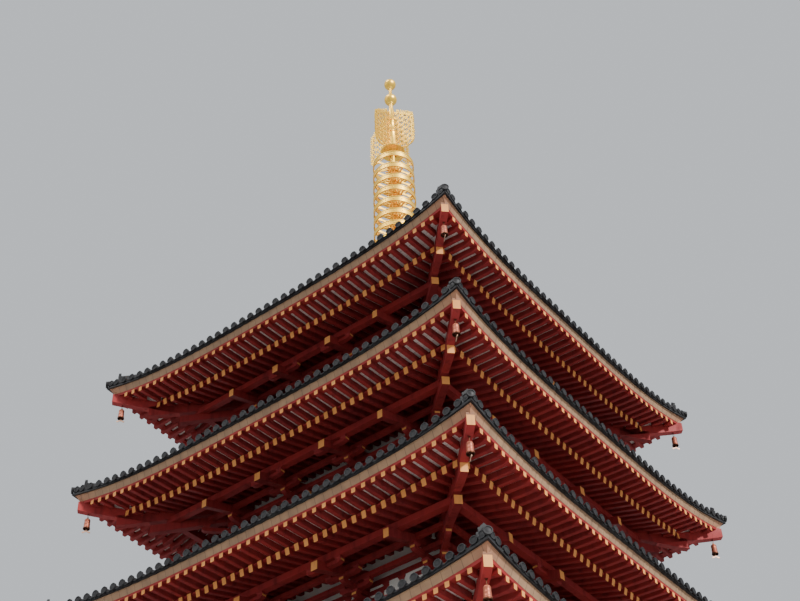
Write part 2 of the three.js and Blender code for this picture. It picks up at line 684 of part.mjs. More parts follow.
function place(name, shape, material, parent = pagoda) {
  const geometry = shape.isBufferGeometry ? geometryOf(solid(shape)) : geometryOf(shape);
  const mesh = new THREE.Mesh(geometry, material);
  mesh.name = name;
  parent.add(mesh);
  return mesh;
}

const SIDES = ["right", "back", "left", "front"];
const CORNERS = ["front_right", "back_right", "back_left", "front_left"];

place("podium", podium(), stone);
SIDES.forEach((side, turn) => {
  place(`${side}_steps`, stepFlight(), stone).rotation.z = turn * Math.PI / 2;
  for (const [hand, way] of [["a", -1], ["b", 1]]) {
    place(`${side}_door_${hand}`, doorLeaf(way), vermilion).rotation.z = turn * Math.PI / 2;
  }
});
place("heart_pillar", pillar(), timber);

for (const storey of storeys) {
  const name = `storey_${storey.number}`;
  if (!storey.ground) {
    place(`${name}_floor`, upperFloor(storey), timber);
    place(`${name}_railing`, railing(storey), vermilion);
  }
  place(`${name}_frame`, frame(storey), vermilion);
  place(`${name}_walls`, walls(storey), plaster);
  place(`${name}_brackets`, brackets(storey), vermilion);
  place(`${name}_eaves`, eaves(storey), vermilion);
  place(`${name}_roof`, roof(storey), tile);
}

for (const storey of storeys.filter(({ number }) => number > 3)) {
  CORNERS.forEach((corner, turn) => {
    const hook = new THREE.Group();
    hook.rotation.z = (turn - 0.5) * Math.PI / 2;
    pagoda.add(hook);
    const hung = place(`bell_${storey.number}_${corner}`, bell(), bronze, hook);
    hung.position.set(bellHalf(storey) * Math.SQRT2, 0, bellHinge(storey));
  });
}

place("finial_box", finialBox(), gilt);
place("finial_bowl", finialBowl(), gilt);
place("finial_rings", finialRings(), gilt);
place("finial_flames", finialFlames(), gilt);
place("finial_jewels", finialJewels(), gilt);

export default pagoda;
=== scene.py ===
"""The looks of a five-storey pagoda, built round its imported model.

Sizes are in metres, +Z is up, and the front faces -Y. Most shapes are drawn on the side that faces +X,
with distances measured out from the tower's axis and heights from a storey's eave line.
"""

import math
from types import SimpleNamespace

import bpy
import numpy as np
from mathutils import Matrix, Vector


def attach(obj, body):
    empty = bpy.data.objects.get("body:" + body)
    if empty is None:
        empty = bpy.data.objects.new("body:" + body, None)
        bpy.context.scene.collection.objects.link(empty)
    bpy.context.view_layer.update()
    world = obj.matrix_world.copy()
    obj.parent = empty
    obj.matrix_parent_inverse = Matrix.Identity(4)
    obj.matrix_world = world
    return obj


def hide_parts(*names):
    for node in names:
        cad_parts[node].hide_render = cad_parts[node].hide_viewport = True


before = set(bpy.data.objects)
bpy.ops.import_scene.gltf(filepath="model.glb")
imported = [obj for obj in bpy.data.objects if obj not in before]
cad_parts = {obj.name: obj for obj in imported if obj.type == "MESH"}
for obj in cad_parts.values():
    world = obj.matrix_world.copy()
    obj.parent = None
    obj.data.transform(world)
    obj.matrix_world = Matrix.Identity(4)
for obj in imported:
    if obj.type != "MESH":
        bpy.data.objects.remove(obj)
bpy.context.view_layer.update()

QUARTER = math.pi / 2
DIAGONAL = math.sqrt(2)

# Driving sizes of the tower. The eaves rise to the corners a little more roundly than in the model.
TILE_PITCH = 0.3
TILE_LENGTH = 0.3
STOREYS = 5
FIRST_EAVE = 6.3
STOREY_RISE = 3.69
TOP_EAVE_HALF = 5.919
EAVE_STEP = 0.363
OVERHANG = 3.369
BASE_SETBACK = 0.889
FLYING_SETBACK = 0.169
BAY_SPLIT = 0.365

CORNER_BOW = 0.1152
FASCIA_BOW = 0.15
CORNER_TILE_BOW = 0.19
BASE_BOW = 0.06
TILE_RISE = 0.401
EDGE_RISE = 0.335
EDGE_FOOT_RISE = 0.315
FLYING_RISE = 0.295
BASE_RISE = 0.2
RISE_POWER = 3.6

# Heights from a storey's eave line.
COLUMN_TOP = -1.37
PLATE_TOP = -1.13
DECK_ABOVE_EAVE = 1.45
ROOF_HEAD = 1.08
BASE_TIP_FOOT = -0.635
FLYING_FOOT = -0.472
EDGE_FOOT = -0.143

RAFTER_SLOPE = 0.28
RAFTER_PITCH = 0.279
FLYING_HEIGHT = 0.155
BASE_HEIGHT = 0.175
TIE_DEPTH = 0.17
PODIUM_HALF = 5.3
PODIUM_HEIGHT = 1.2
COPING_HEIGHT = 0.18
COPING_REACH = 0.07
WALL_SETBACK = 0.03

SIDES = ["right", "back", "left", "front"]
CORNERS = ["front_right", "back_right", "back_left", "front_left"]
# In quarter turns from the right side.
TO_FIRST_CORNER = -0.5

GROUND_SIZES = {
    "column_radius": 0.24, "sill_top": 0.25, "head_foot": 2.9, "head_top": 3.11,
    "window_width": 1.7, "window_foot": 1.25, "window_top": 2.45, "window_bar": 0.09, "window_depth": 0.1,
    "lattice_bars": 20, "door_width": 1.9, "door_panels": 4, "jamb": 0.2,
}
UPPER_SIZES = {
    "column_radius": 0.19, "sill_top": 0.13,
    "window_width": 0.86, "window_foot": 0.22, "window_top": 0.64, "window_bar": 0.05, "window_depth": 0.09,
    "lattice_bars": 11, "door_width": 1.05, "door_panels": 2, "jamb": 0.09,
}


def storey_sizes(number):
    ground = number == 1
    eave = FIRST_EAVE + (number - 1) * STOREY_RISE
    eave_half = TOP_EAVE_HALF + (STOREYS - number) * EAVE_STEP
    body_half = eave_half - OVERHANG
    return SimpleNamespace(
        number=number,
        name=f"storey_{number}",
        ground=ground,
        eave=eave,
        eave_half=eave_half,
        body_half=body_half,
        mid_bay=body_half * (1 + BAY_SPLIT) / 2,
        floor=PODIUM_HEIGHT if ground else eave - STOREY_RISE + DECK_ABOVE_EAVE,
        base_tip=eave_half - BASE_SETBACK,
        fly_tip=eave_half - FLYING_SETBACK,
        **(GROUND_SIZES if ground else UPPER_SIZES),
    )


storeys = [storey_sizes(number) for number in range(1, STOREYS + 1)]
top_storey = storeys[-1]


# Node trees, for materials and for geometry


class Value:
    """A socket of a node tree that can be used in sums."""

    def __init__(self, tree, socket):
        self.tree = tree
        self.socket = socket

    def math(self, operation, *others):
        return self.tree.sum(operation, self, *others)

    def __add__(self, other):
        return self.math("ADD", other)

    __radd__ = __add__

    def __sub__(self, other):
        return self.math("SUBTRACT", other)

    def __rsub__(self, other):
        return self.tree.sum("SUBTRACT", other, self)

    def __mul__(self, other):
        return self.math("MULTIPLY", other)

    __rmul__ = __mul__

    def __truediv__(self, other):
        return self.math("DIVIDE", other)

    def __pow__(self, other):
        return self.math("POWER", other)

    def __abs__(self):
        return self.math("ABSOLUTE")

    def __gt__(self, other):
        return self.math("GREATER_THAN", other)


class Made:
    """A node that was made. Its outputs are read as values, by name or by place."""

    def __init__(self, tree, node):
        self.tree = tree
        self.node = node

    def __getitem__(self, output):
        return Value(self.tree, self.node.outputs[output])


class Tree:
    def __init__(self, tree):
        self.tree = tree

    def add(self, kind, settings=None, inputs=None):
        """Makes a node of a type: its settings come first, then the values or links of its sockets."""
        node = self.tree.nodes.new(kind)
        for name, value in (settings or {}).items():
            setattr(node, name, value)
        for name, value in (inputs or {}).items():
            if isinstance(value, Value):
                self.tree.links.new(value.socket, node.inputs[name])
            else:
                node.inputs[name].default_value = value
        return Made(self, node)

    def sum(self, operation, *values):
        return self.add("ShaderNodeMath", {"operation": operation}, dict(enumerate(values)))[0]

    def point(self, x, y, z):
        return self.add("ShaderNodeCombineXYZ", None, {0: x, 1: y, 2: z})[0]

    def split(self, value):
        """The X, Y and Z of a vector."""
        return self.add("ShaderNodeSeparateXYZ", None, {0: value})


def colour(code):
    """A colour written as on a paint chart, as the linear values that a shader takes."""
    channels = [int(code[place:place + 2], 16) / 255 for place in (1, 3, 5)]
    linear = [c / 12.92 if c <= 0.04045 else ((c + 0.055) / 1.055) ** 2.4 for c in channels]
    return (*linear, 1.0)


class Finish(Tree):
    """A material whose colour, roughness and relief vary over the surface."""

    def __init__(self, name):
        self.material = bpy.data.materials.new(name)
        self.material.use_nodes = True
        super().__init__(self.material.node_tree)
        self.tree.nodes.clear()
        self.place = self.add("ShaderNodeTexCoord")["Object"]
        self.along = self.add("ShaderNodeUVMap", {"uv_map": "along"})[0]
        self.shade = self.add("ShaderNodeAttribute", {"attribute_name": "shade"})["Fac"]

    def noise(self, scale, detail=3.0, stretch=(1, 1, 1)):
        spot = self.add("ShaderNodeMapping", None, {"Vector": self.place, "Scale": stretch})["Vector"]
        return self.add("ShaderNodeTexNoise", None, {"Vector": spot, "Scale": scale, "Detail": detail})[0]

    def mixed(self, share, first, second):
        return self.add("ShaderNodeMix", {"data_type": "RGBA"}, {0: share, 6: first, 7: second})[2]

    def spread(self, value, low, high):
        """A value from low to high as a share from 0 to 1."""
        limits = {"Value": value, "From Min": low, "From Max": high}
        return self.add("ShaderNodeMapRange", None, limits)["Result"]

    def seam(self, value, pitch, width):
        """1 on a thin line at every pitch, and 0 between the lines."""
        way = abs((value / pitch).math("FRACT") - 0.5)
        return way > 0.5 - width / pitch / 2

    def finished(self, base, roughness, relief=None, depth=0.002, metallic=0.0, glint=0.5):
        inputs = {"Base Color": base, "Roughness": roughness, "Metallic": metallic,
                  "Specular IOR Level": glint}
        if relief is not None:
            inputs["Normal"] = self.add("ShaderNodeBump", None, {"Height": relief, "Distance": depth})[0]
        shader = self.add("ShaderNodeBsdfPrincipled", None, inputs)[0]
        self.add("ShaderNodeOutputMaterial", None, {"Surface": shader})
        return self.material


def painted(name, fresh, worn, dark, streak=0.55):
    """Paint on timber: fresh in most places, chalked and dirty in patches, over a faint grain."""
    finish = Finish(name)
    patches = finish.spread(finish.noise(0.9, 4.0), 0.42, 0.68)
    grime = finish.spread(finish.noise(6.0, 5.0, (1, 1, 0.25)), 0.5, 0.75)
    grain = finish.noise(55.0, 3.0, (1, 1, 0.12))
    base = finish.mixed(patches * 0.6 + finish.shade * 0.35, colour(fresh), colour(worn))
    base = finish.mixed(grime * streak, base, colour(dark))
    rough = 0.56 + patches * 0.14 + grime * 0.12
    return finish.finished(base, rough, grain + grime * 0.5, 0.0015, glint=0.22)


def plastered():
    finish = Finish("white_plaster")
    stains = finish.spread(finish.noise(1.3, 5.0, (1, 1, 0.4)), 0.48, 0.75)
    trowel = finish.noise(14.0, 4.0)
    base = finish.mixed(stains * 0.5, colour("#ece7dc"), colour("#c9c0ae"))
    base = finish.mixed(trowel * 0.12, base, colour("#b8ae9c"))
    return finish.finished(base, 0.78 + trowel * 0.15, trowel, 0.004)


def eave_board():
    """The pale board under the tiles: lengths with a dark seam between, and a painted red reflection
    towards the corners.
    """
    finish = Finish("eave_board")
    where = finish.split(finish.place)
    across, deep = abs(where["X"]), abs(where["Y"])
    # Painted reflection: near each corner a salmon tint stands in for red light thrown onto the board by
    # the rafters.
    red_reflection_share = finish.spread(across.math("MINIMUM", deep) / across.math("MAXIMUM", deep), 0.88, 1.0)
    spot = finish.split(finish.along)
    seam = finish.seam(spot["X"], pitch=0.2565, width=0.012)
    board = finish.noise(3.5, 4.0, (1, 1, 0.5))
    grain = finish.noise(40.0, 3.0, (0.2, 0.2, 1))
    base = finish.mixed(finish.spread(board, 0.35, 0.7), colour("#9f7b5b"), colour("#87684e"))
    # Mixes the painted red reflection into the board near the corners.
    base = finish.mixed(red_reflection_share * 0.4, base, colour("#b0684a"))
    base = finish.mixed(grain * 0.25, base, colour("#735a44"))
    base = finish.mixed(seam * 0.6, base, colour("#4d3a2c"))
    return finish.finished(base, 0.62 + grain * 0.15, grain * 0.4 - seam * 2.0, 0.003)


def soffit_board():
    """White boards laid along the eave above the rafters."""
    finish = Finish("soffit_board")
    spot = finish.split(finish.along)
    seam = finish.seam(spot["Y"], pitch=0.24, width=0.01)
    dust = finish.spread(finish.noise(2.2, 5.0), 0.4, 0.75)
    grain = finish.noise(50.0, 2.0, (0.3, 0.3, 1))
    base = finish.mixed(dust * 0.6, colour("#eadbd2"), colour("#cfbab0"))
    base = finish.mixed(seam * 0.6, base, colour("#6a4a44"))
    return finish.finished(base, 0.75 + dust * 0.12, grain * 0.5 - seam * 2.0, 0.003)


def clay_tile():
    """Smoked clay: dark grey with a silver bloom, lighter and greener where rain runs over it."""
    finish = Finish("clay_tile")
    bloom = finish.spread(finish.noise(2.0, 5.0), 0.42, 0.66)
    lichen = finish.spread(finish.noise(7.0, 6.0), 0.58, 0.74)
    pores = finish.noise(90.0, 2.0)
    base = finish.mixed(finish.shade * 0.7, colour("#1a1819"), colour("#292829"))
    base = finish.mixed(bloom * 0.3, base, colour("#3b3c3e"))
    base = finish.mixed(lichen * 0.25, base, colour("#575b56"))
    rough = 0.5 + bloom * 0.12 + lichen * 0.2
    return finish.finished(base, rough, pores * 0.5 + lichen, 0.0015, glint=0.25)


def cut_stone():
    finish = Finish("cut_stone")
    speckle = finish.noise(120.0, 2.0)
    clouds = finish.spread(finish.noise(0.8, 4.0), 0.38, 0.66)
    damp = finish.spread(finish.noise(3.0, 5.0, (1, 1, 0.3)), 0.5, 0.72)
    base = finish.mixed(clouds, colour("#bab6ac"), colour("#a29d92"))
    base = finish.mixed(finish.shade * 0.35, base, colour("#8d897f"))
    base = finish.mixed(finish.spread(speckle, 0.56, 0.68) * 0.6, base, colour("#6a6862"))
    base = finish.mixed(damp * 0.3, base, colour("#77766c"))
    return finish.finished(base, 0.8 + speckle * 0.12, speckle + clouds, 0.003)


def paving():
    """Square stone flags with open joints."""
    finish = Finish("stone_paving")
    spot = finish.split(finish.place)
    flag, gap = 0.53, 0.014
    joint = finish.seam(spot["X"], flag, gap).math("MAXIMUM", finish.seam(spot["Y"], flag, gap))
    speckle = finish.noise(110.0, 2.0)
    clouds = finish.spread(finish.noise(1.1, 4.0), 0.38, 0.66)
    base = finish.mixed(clouds, colour("#b3afa5"), colour("#9b968b"))
    base = finish.mixed(finish.spread(speckle, 0.56, 0.7) * 0.5, base, colour("#6a6862"))
    base = finish.mixed(joint * 0.8, base, colour("#55534c"))
    return finish.finished(base, 0.82 + speckle * 0.1, speckle * 0.5 - joint * 3.0, 0.004)


def bare_timber(name, light, dark):
    finish = Finish(name)
    spot = finish.split(finish.along)
    seam = finish.seam(spot["X"], pitch=0.22, width=0.01)
    figure = finish.noise(9.0, 5.0, (1, 1, 0.12))
    grain = finish.noise(70.0, 3.0, (1, 1, 0.1))
    base = finish.mixed(finish.spread(figure, 0.35, 0.7), colour(light), colour(dark))
    base = finish.mixed(grain * 0.3, base, colour("#4a3626"))
    base = finish.mixed(seam * 0.7, base, colour("#33241a"))
    return finish.finished(base, 0.62 + grain * 0.2, grain - seam * 3.0, 0.002)


def metal(name, bright, dull, roughness, metallic, patch_share):
    """Beaten metal: bright, with duller patches and a slightly uneven surface."""
    finish = Finish(name)
    patches = finish.spread(finish.noise(5.0, 5.0), 0.45, 0.7)
    dents = finish.noise(16.0, 2.0)
    base = finish.mixed(patches * patch_share, colour(bright), colour(dull))
    rough = roughness + patches * 0.14
    return finish.finished(base, rough, dents, 0.002, metallic=metallic, glint=0.3)


RED = painted("vermilion_paint", "#972f2d", "#812929", "#451616")
DEEP_RED = painted("deep_vermilion_paint", "#892828", "#732324", "#3e1314")
PALE_END = painted("pale_end_paint", "#e39a56", "#cf8746", "#96683c", 0.3)
GREEN = painted("green_lattice_paint", "#3c7a5e", "#2f6650", "#1c3d31", 0.4)
BLACK = metal("black_iron", "#2e2b28", "#45382e", 0.5, 0.7, 0.6)
PLASTER = plastered()
FASCIA = eave_board()
SOFFIT = soffit_board()
TILE = clay_tile()
STONE = cut_stone()
PAVING = paving()
DECKING = bare_timber("deck_planks", "#a5835c", "#7f6142")
TIMBER = bare_timber("heart_timber", "#9a7850", "#78593a")
GILT = metal("gilt_copper", "#ffcf52", "#f2b238", 0.36, 0.75, 0.4)
BELL_METAL = metal("bell_copper", "#a9614a", "#7c4638", 0.48, 0.6, 0.8)
DARK_BRONZE = metal("dark_bronze", "#5a3524", "#3a241a", 0.5, 0.8, 0.7)
PALE_BRONZE = metal("pale_bronze", "#c79f86", "#9c7a68", 0.5, 0.5, 0.7)
BELL_COLOURS = [BELL_METAL, DARK_BRONZE, PALE_BRONZE]


# Shapes


class Shape:
    """Points and faces gathered for one piece. A face's mark says which of the materials it takes."""

    def __init__(self):
        self.points = []
        self.faces = []
        self.marks = []
        self.places = []

    def take(self, points, faces, marks=None, places=None):
        start = len(self.points)
        self.points += [tuple(point) for point in points]
        self.faces += [tuple(start + corner for corner in face) for face in faces]
        self.marks += list(marks) if marks else [0] * len(faces)
        self.places += list(places) if places else [None] * len(faces)
        return self

    def put(self, other, matrix=Matrix.Identity(4)):
        points = [matrix @ Vector(point) for point in other.points]
        return self.take(points, other.faces, other.marks, other.places)

    def on_four_sides(self, other, first_turn=0.0):
        for turn in range(4):
            self.put(other, Matrix.Rotation(first_turn + turn * QUARTER, 4, "Z"))
        return self

    def on_four_corners(self, other):
        return self.on_four_sides(other, TO_FIRST_CORNER * QUARTER)

    def mesh(self, name, smooth=None):
        made = bpy.data.meshes.new(name)
        made.from_pydata(self.points, [], self.faces)
        pale = [mark > 0 for mark in self.marks]
        made.attributes.new("pale", "BOOLEAN", "FACE").data.foreach_set("value", pale)
        made.polygons.foreach_set("material_index", self.marks)
        layer = made.uv_layers.new(name="along")
        for polygon, places in zip(made.polygons, self.places):
            if places:
                for loop, place in zip(polygon.loop_indices, places):
                    layer.data[loop].uv = place
        if smooth:
            made.shade_smooth()
            made.set_sharp_from_angle(angle=math.radians(smooth))
        made.validate()
        made.update()
        return made


def moved(shape, x=0.0, y=0.0, z=0.0, turn=0.0):
    return Shape().put(shape, Matrix.Translation((x, y, z)) @ Matrix.Rotation(turn, 4, "Z"))


def facing_out(shape):
    """Turns a shape that was drawn upright to point along +X."""
    return Shape().put(shape, Matrix.Rotation(QUARTER, 4, "Y"))


def mirrored(half, middle=()):
    """Half an outline, the points in its middle, and its other half, as (side, up) points."""
    return [*half, *middle, *((-side, up) for side, up in half[::-1])]


def block(low, high):
    (a, b, c), (d, e, f) = low, high
    points = [(a, b, c), (d, b, c), (d, e, c), (a, e, c), (a, b, f), (d, b, f), (d, e, f), (a, e, f)]
    faces = [(0, 3, 2, 1), (4, 5, 6, 7), (0, 1, 5, 4), (1, 2, 6, 5), (2, 3, 7, 6), (3, 0, 4, 7)]
    return Shape().take(points, faces)


def prism(outline, low, high, pale_edges=()):
    """An outline of (out, height) points, counter-clockwise, with a width from low to high across it."""
    count = len(outline)
    points = [(out, side, height) for side in (high, low) for out, height in outline]
    faces = [tuple(range(count))[::-1], tuple(range(count, 2 * count))]
    faces += [(i, (i + 1) % count, (i + 1) % count + count, i + count) for i in range(count)]
    marks = [0, 0] + [int(i in pale_edges) for i in range(count)]
    return Shape().take(points, faces, marks)


def between(tip, heel, marks=None):
    """The solid between two outlines. Seen from the tip, both run counter-clockwise."""
    count = len(tip)
    faces = [tuple(range(count)), tuple(range(count, 2 * count))[::-1]]
    faces += [(i, i + count, (i + 1) % count + count, (i + 1) % count) for i in range(count)]
    return Shape().take(tip + heel, faces, marks)


def turned(profile, sides, first_turn=0.0):
    """A profile of (radius, height) points from foot to top, turned about the upright axis."""
    points = []
    rings = []
    for radius, height in profile:
        if radius == 0:
            rings.append([len(points)] * sides)
            points.append((0.0, 0.0, height))
            continue
        rings.append(list(range(len(points), len(points) + sides)))
        for side in range(sides):
            angle = first_turn + side * 2 * math.pi / sides
            points.append((radius * math.cos(angle), radius * math.sin(angle), height))
    faces = []
    for low, high in zip(rings, rings[1:]):
        for side in range(sides):
            after = (side + 1) % sides
            corners = [low[side], low[after], high[after], high[side]]
            faces.append(tuple(dict.fromkeys(corners)))
    return Shape().take(points, faces)


def hoop(profile, sides):
    """A closed outline of (radius, height) points, counter-clockwise, turned about the upright axis."""
    count = len(profile)
    points = []
    for side in range(sides):
        angle = side * 2 * math.pi / sides
        cosine, sine = math.cos(angle), math.sin(angle)
        points += [(radius * cosine, radius * sine, height) for radius, height in profile]
    faces = []
    for side in range(sides):
        here, there = side * count, (side + 1) % sides * count
        for row in range(count):
            up = (row + 1) % count
            faces.append((here + row, there + row, there + up, here + up))
    return Shape().take(points, faces)


def swept(path, section):
    """A closed section of (side, up) points carried along a path, with both ends closed."""
    path = [Vector(point) for point in path]
    count = len(section)
    points = []
    for index, here in enumerate(path):
        before, after = path[max(index - 1, 0)], path[min(index + 1, len(path) - 1)]
        ahead = (after - before).normalized()
        side = Vector((0, 0, 1)).cross(ahead).normalized()
        up = ahead.cross(side)
        points += [here + side * across + up * height for across, height in section]
    last = (len(path) - 1) * count
    faces = [tuple(range(count))[::-1]]
    for start in range(0, last, count):
        for i in range(count):
            after = (i + 1) % count
            faces.append((start + i, start + after, start + count + after, start + count + i))
    faces.append(tuple(range(last, last + count)))
    return Shape().take(points, faces)


def shares_of_side(steps):
    """Shares from -1 to 1 along a side, closer together towards its corners."""
    half = [1 - (1 - step / steps) ** 1.7 for step in range(steps + 1)]
    return [-share for share in half[:0:-1]] + half


def carried_round(section, steps=8):
    """A section of (out, height, rise, bow) points, counter-clockwise, carried round the square."""
    shares = shares_of_side(steps) if steps else [-1.0, 1.0]
    lengths = [0.0]
    for here, there in zip(section, section[1:] + section[:1]):
        lengths.append(lengths[-1] + math.dist(here[:2], there[:2]))
    points = []
    for turn in range(4):
        cosine, sine = round(math.cos(turn * QUARTER)), round(math.sin(turn * QUARTER))
        for share in shares[:-1]:
            near = abs(share) ** RISE_POWER
            for out, height, rise, bow in section:
                x, y = out + bow * near, share * (out + bow)
                points.append((cosine * x - sine * y, sine * x + cosine * y, height + rise * near))
    count = len(section)
    columns = len(points) // count
    faces = []
    places = []
    for column in range(columns):
        step = column % (len(shares) - 1)
        here, there = column * count, (column + 1) % columns * count
        for row in range(count):
            up = (row + 1) % count
            faces.append((here + row, there + row, there + up, here + up))
            half_low, half_high = section[row][0] + section[row][3], section[up][0] + section[up][3]
            low, high = lengths[row], lengths[row + 1]
            first, second = shares[step], shares[step + 1]
            places.append([(first * half_low, low), (second * half_low, low),
                           (second * half_high, high), (first * half_high, high)])
    return Shape().take(points, faces, None, places)


def level_ring(inner, outer, foot, top):
    corners = [(inner, foot), (outer, foot), (outer, top), (inner, top)]
    return carried_round([(out, height, 0, 0) for out, height in corners], 0)


def section_at(eave, points):
    return [(out, eave + height, rise, bow) for out, height, rise, bow in points]


# Geometry node recipes


class Recipe(Tree):
    """A geometry node tree with named inputs."""

    def __init__(self, name, inputs):
        group = bpy.data.node_groups.new(name, "GeometryNodeTree")
        super().__init__(group)
        group.interface.new_socket("Geometry", in_out="OUTPUT", socket_type="NodeSocketGeometry")
        group.interface.new_socket("Geometry", in_out="INPUT", socket_type="NodeSocketGeometry")
        for label, kind in inputs.items():
            group.interface.new_socket(label, in_out="INPUT", socket_type=f"NodeSocket{kind}")
        self.given = self.add("NodeGroupInput")

    def shapes_on(self, points, turn, stretch):
        """The given shape on each point, each with its own shade, as real faces."""
        shape = self.add("GeometryNodeObjectInfo", {"transform_space": "ORIGINAL"}, {
            "Object": self.given["Shape"], "As Instance": True})["Geometry"]
        rotation = self.add("FunctionNodeEulerToRotation", None, {0: turn})[0]
        placed = self.add("GeometryNodeInstanceOnPoints", None, {
            "Points": points, "Instance": shape, "Rotation": rotation, "Scale": stretch})[0]
        random = self.add("FunctionNodeRandomValue", {"data_type": "FLOAT"}, {"Seed": self.given["Seed"]})
        shaded = self.add("GeometryNodeStoreNamedAttribute", {"data_type": "FLOAT", "domain": "INSTANCE"}, {
            "Geometry": placed, "Name": "shade", "Value": random[1]})[0]
        return self.add("GeometryNodeRealizeInstances", None, {"Geometry": shaded})[0]

    def close(self, faces):
        """Gives the faces their material, and the marked ones theirs, and ends the tree."""
        marked = self.add("GeometryNodeInputNamedAttribute", {"data_type": "BOOLEAN"}, {"Name": "pale"})[0]
        faces = self.add("GeometryNodeSetMaterial", None, {
            "Geometry": faces, "Material": self.given["Main material"]})[0]
        faces = self.add("GeometryNodeSetMaterial", None, {
            "Geometry": faces, "Selection": marked, "Material": self.given["End material"]})[0]
        self.add("NodeGroupOutput", None, {"Geometry": faces})
        return self.tree


COMMON_INPUTS = {"Shape": "Object", "Seed": "Int", "Main material": "Material", "End material": "Material"}


def row_recipe():
    """Shapes in a row along the eave of each side, lifted and bowed towards the corners.

    A stretched shape runs from its tip in to the inner line, or to the hip where that comes first.
    """
    sizes = ["Pitch", "Out", "Height", "Rise", "Bow", "Power", "Inner out", "Inner height", "Inner rise",
             "Inner bow", "Clearance", "Stretched", "Following"]
    recipe = Recipe("row_along_eave", COMMON_INPUTS | {"Count": "Int"} | {size: "Float" for size in sizes})
    given = recipe.given
    pitch, power = given["Pitch"], given["Power"]
    start = (given["Count"] - 1) * pitch * -0.5
    line = recipe.add("GeometryNodeMeshLine", {"mode": "OFFSET"}, {
        "Count": given["Count"], "Start Location": recipe.point(0.0, start, 0.0),
        "Offset": recipe.point(0.0, pitch, 0.0)})[0]
    position = recipe.add("GeometryNodeInputPosition")[0]
    along = recipe.split(position)["Y"]
    way = abs(along)
    corner = given["Out"] + given["Bow"]
    near = (way / corner).math("MINIMUM", 1.0) ** power
    tip_out = given["Out"] + given["Bow"] * near
    tip_height = given["Height"] + given["Rise"] * near
    inner_out = (way + given["Clearance"]).math("MAXIMUM", given["Inner out"])
    part = (inner_out - given["Inner out"]) / (given["Out"] - given["Inner out"])
    inner_bow = given["Inner bow"] + (given["Bow"] - given["Inner bow"]) * part
    inner_near = (way / (inner_out + inner_bow)).math("MINIMUM", 1.0) ** power
    inner_rise = given["Inner rise"] + (given["Rise"] - given["Inner rise"]) * part
    level = given["Inner height"] + (given["Height"] - given["Inner height"]) * part
    run = tip_out - inner_out
    climb = level + inner_rise * inner_near - tip_height
    length = (run * run + climb * climb).math("SQRT")
    lean = climb.math("ARCTAN2", run) * given["Stretched"]
    scale = 1.0 + (length - 1.0) * given["Stretched"]
    slope = given["Rise"] * power * near / way.math("MAXIMUM", 0.01) * along.math("SIGN")
    swing = given["Bow"] * power * near / way.math("MAXIMUM", 0.01) * along.math("SIGN")
    roll = slope.math("ARCTANGENT") * given["Following"]
    yaw = swing.math("ARCTANGENT") * given["Following"] * -1.0
    line = recipe.add("GeometryNodeSetPosition", None, {
        "Geometry": line, "Position": recipe.point(tip_out, along, tip_height)})[0]
    side = recipe.shapes_on(line, recipe.point(roll, lean, yaw), recipe.point(scale, 1.0, 1.0))
    centre = recipe.add("GeometryNodeMeshLine", {"mode": "OFFSET"}, {
        "Count": len(SIDES), "Offset": (0.0, 0.0, 0.0)})[0]
    index = recipe.add("GeometryNodeInputIndex")[0]
    turns = recipe.add("FunctionNodeEulerToRotation", None, {0: recipe.point(0.0, 0.0, index * QUARTER)})[0]
    sides = recipe.add("GeometryNodeInstanceOnPoints", None, {
        "Points": centre, "Instance": side, "Rotation": turns})[0]
    return recipe.close(recipe.add("GeometryNodeRealizeInstances", None, {"Geometry": sides})[0])


def places_recipe():
    """Shapes on the points of a mesh that carries a turn and a stretch for each."""
    recipe = Recipe("shapes_at_places", COMMON_INPUTS)
    given = {label: recipe.add("GeometryNodeInputNamedAttribute", {"data_type": "FLOAT_VECTOR"}, {
        "Name": label})[0] for label in ("turn", "stretch")}
    faces = recipe.shapes_on(recipe.given["Geometry"], given["turn"], given["stretch"])
    return recipe.close(faces)


ROW_RECIPE = row_recipe()
PLACES_RECIPE = places_recipe()


def grown(name, recipe, host, shape, values, materials, seed=1, smooth=None):
    """Runs a recipe on a host mesh, and keeps the result as a plain mesh."""
    stamp = bpy.data.objects.new(f"{name}_stamp", shape.mesh(f"{name}_stamp", smooth))
    piece = bpy.data.objects.new(name, host)
    for made in (stamp, piece):
        bpy.context.scene.collection.objects.link(made)
    modifier = piece.modifiers.new("recipe", "NODES")
    modifier.node_group = recipe
    given = values | {
        "Shape": stamp, "Seed": seed, "Main material": materials[0], "End material": materials[-1]}
    for socket in recipe.interface.items_tree:
        if socket.in_out == "INPUT" and socket.name in given:
            modifier[socket.identifier] = given[socket.name]
    graph = bpy.context.evaluated_depsgraph_get()
    result = bpy.data.meshes.new_from_object(
        piece.evaluated_get(graph), preserve_all_data_layers=True, depsgraph=graph)
    piece.modifiers.remove(modifier)
    piece.data = result
    bpy.data.objects.remove(stamp)
    return piece


def row(name, shape, materials, count, pitch, out, height, rise=0.0, bow=0.0, inner=None, clearance=0.0,
        following=0.0, seed=1, smooth=None):
    """Copies of a shape along each side's eave. Inner is (out, height, rise, bow) where they run in to."""
    inner_out, inner_height, inner_rise, inner_bow = inner or (0.0, 0.0, 0.0, 0.0)
    values = {
        "Count": count, "Pitch": pitch, "Out": out, "Height": height, "Rise": rise, "Bow": bow,
        "Power": RISE_POWER, "Inner out": inner_out, "Inner height": inner_height, "Inner rise": inner_rise,
        "Inner bow": inner_bow, "Clearance": clearance, "Stretched": float(inner is not None),
        "Following": following,
    }
    return grown(name, ROW_RECIPE, bpy.data.meshes.new(name), shape, values, materials, seed, smooth)


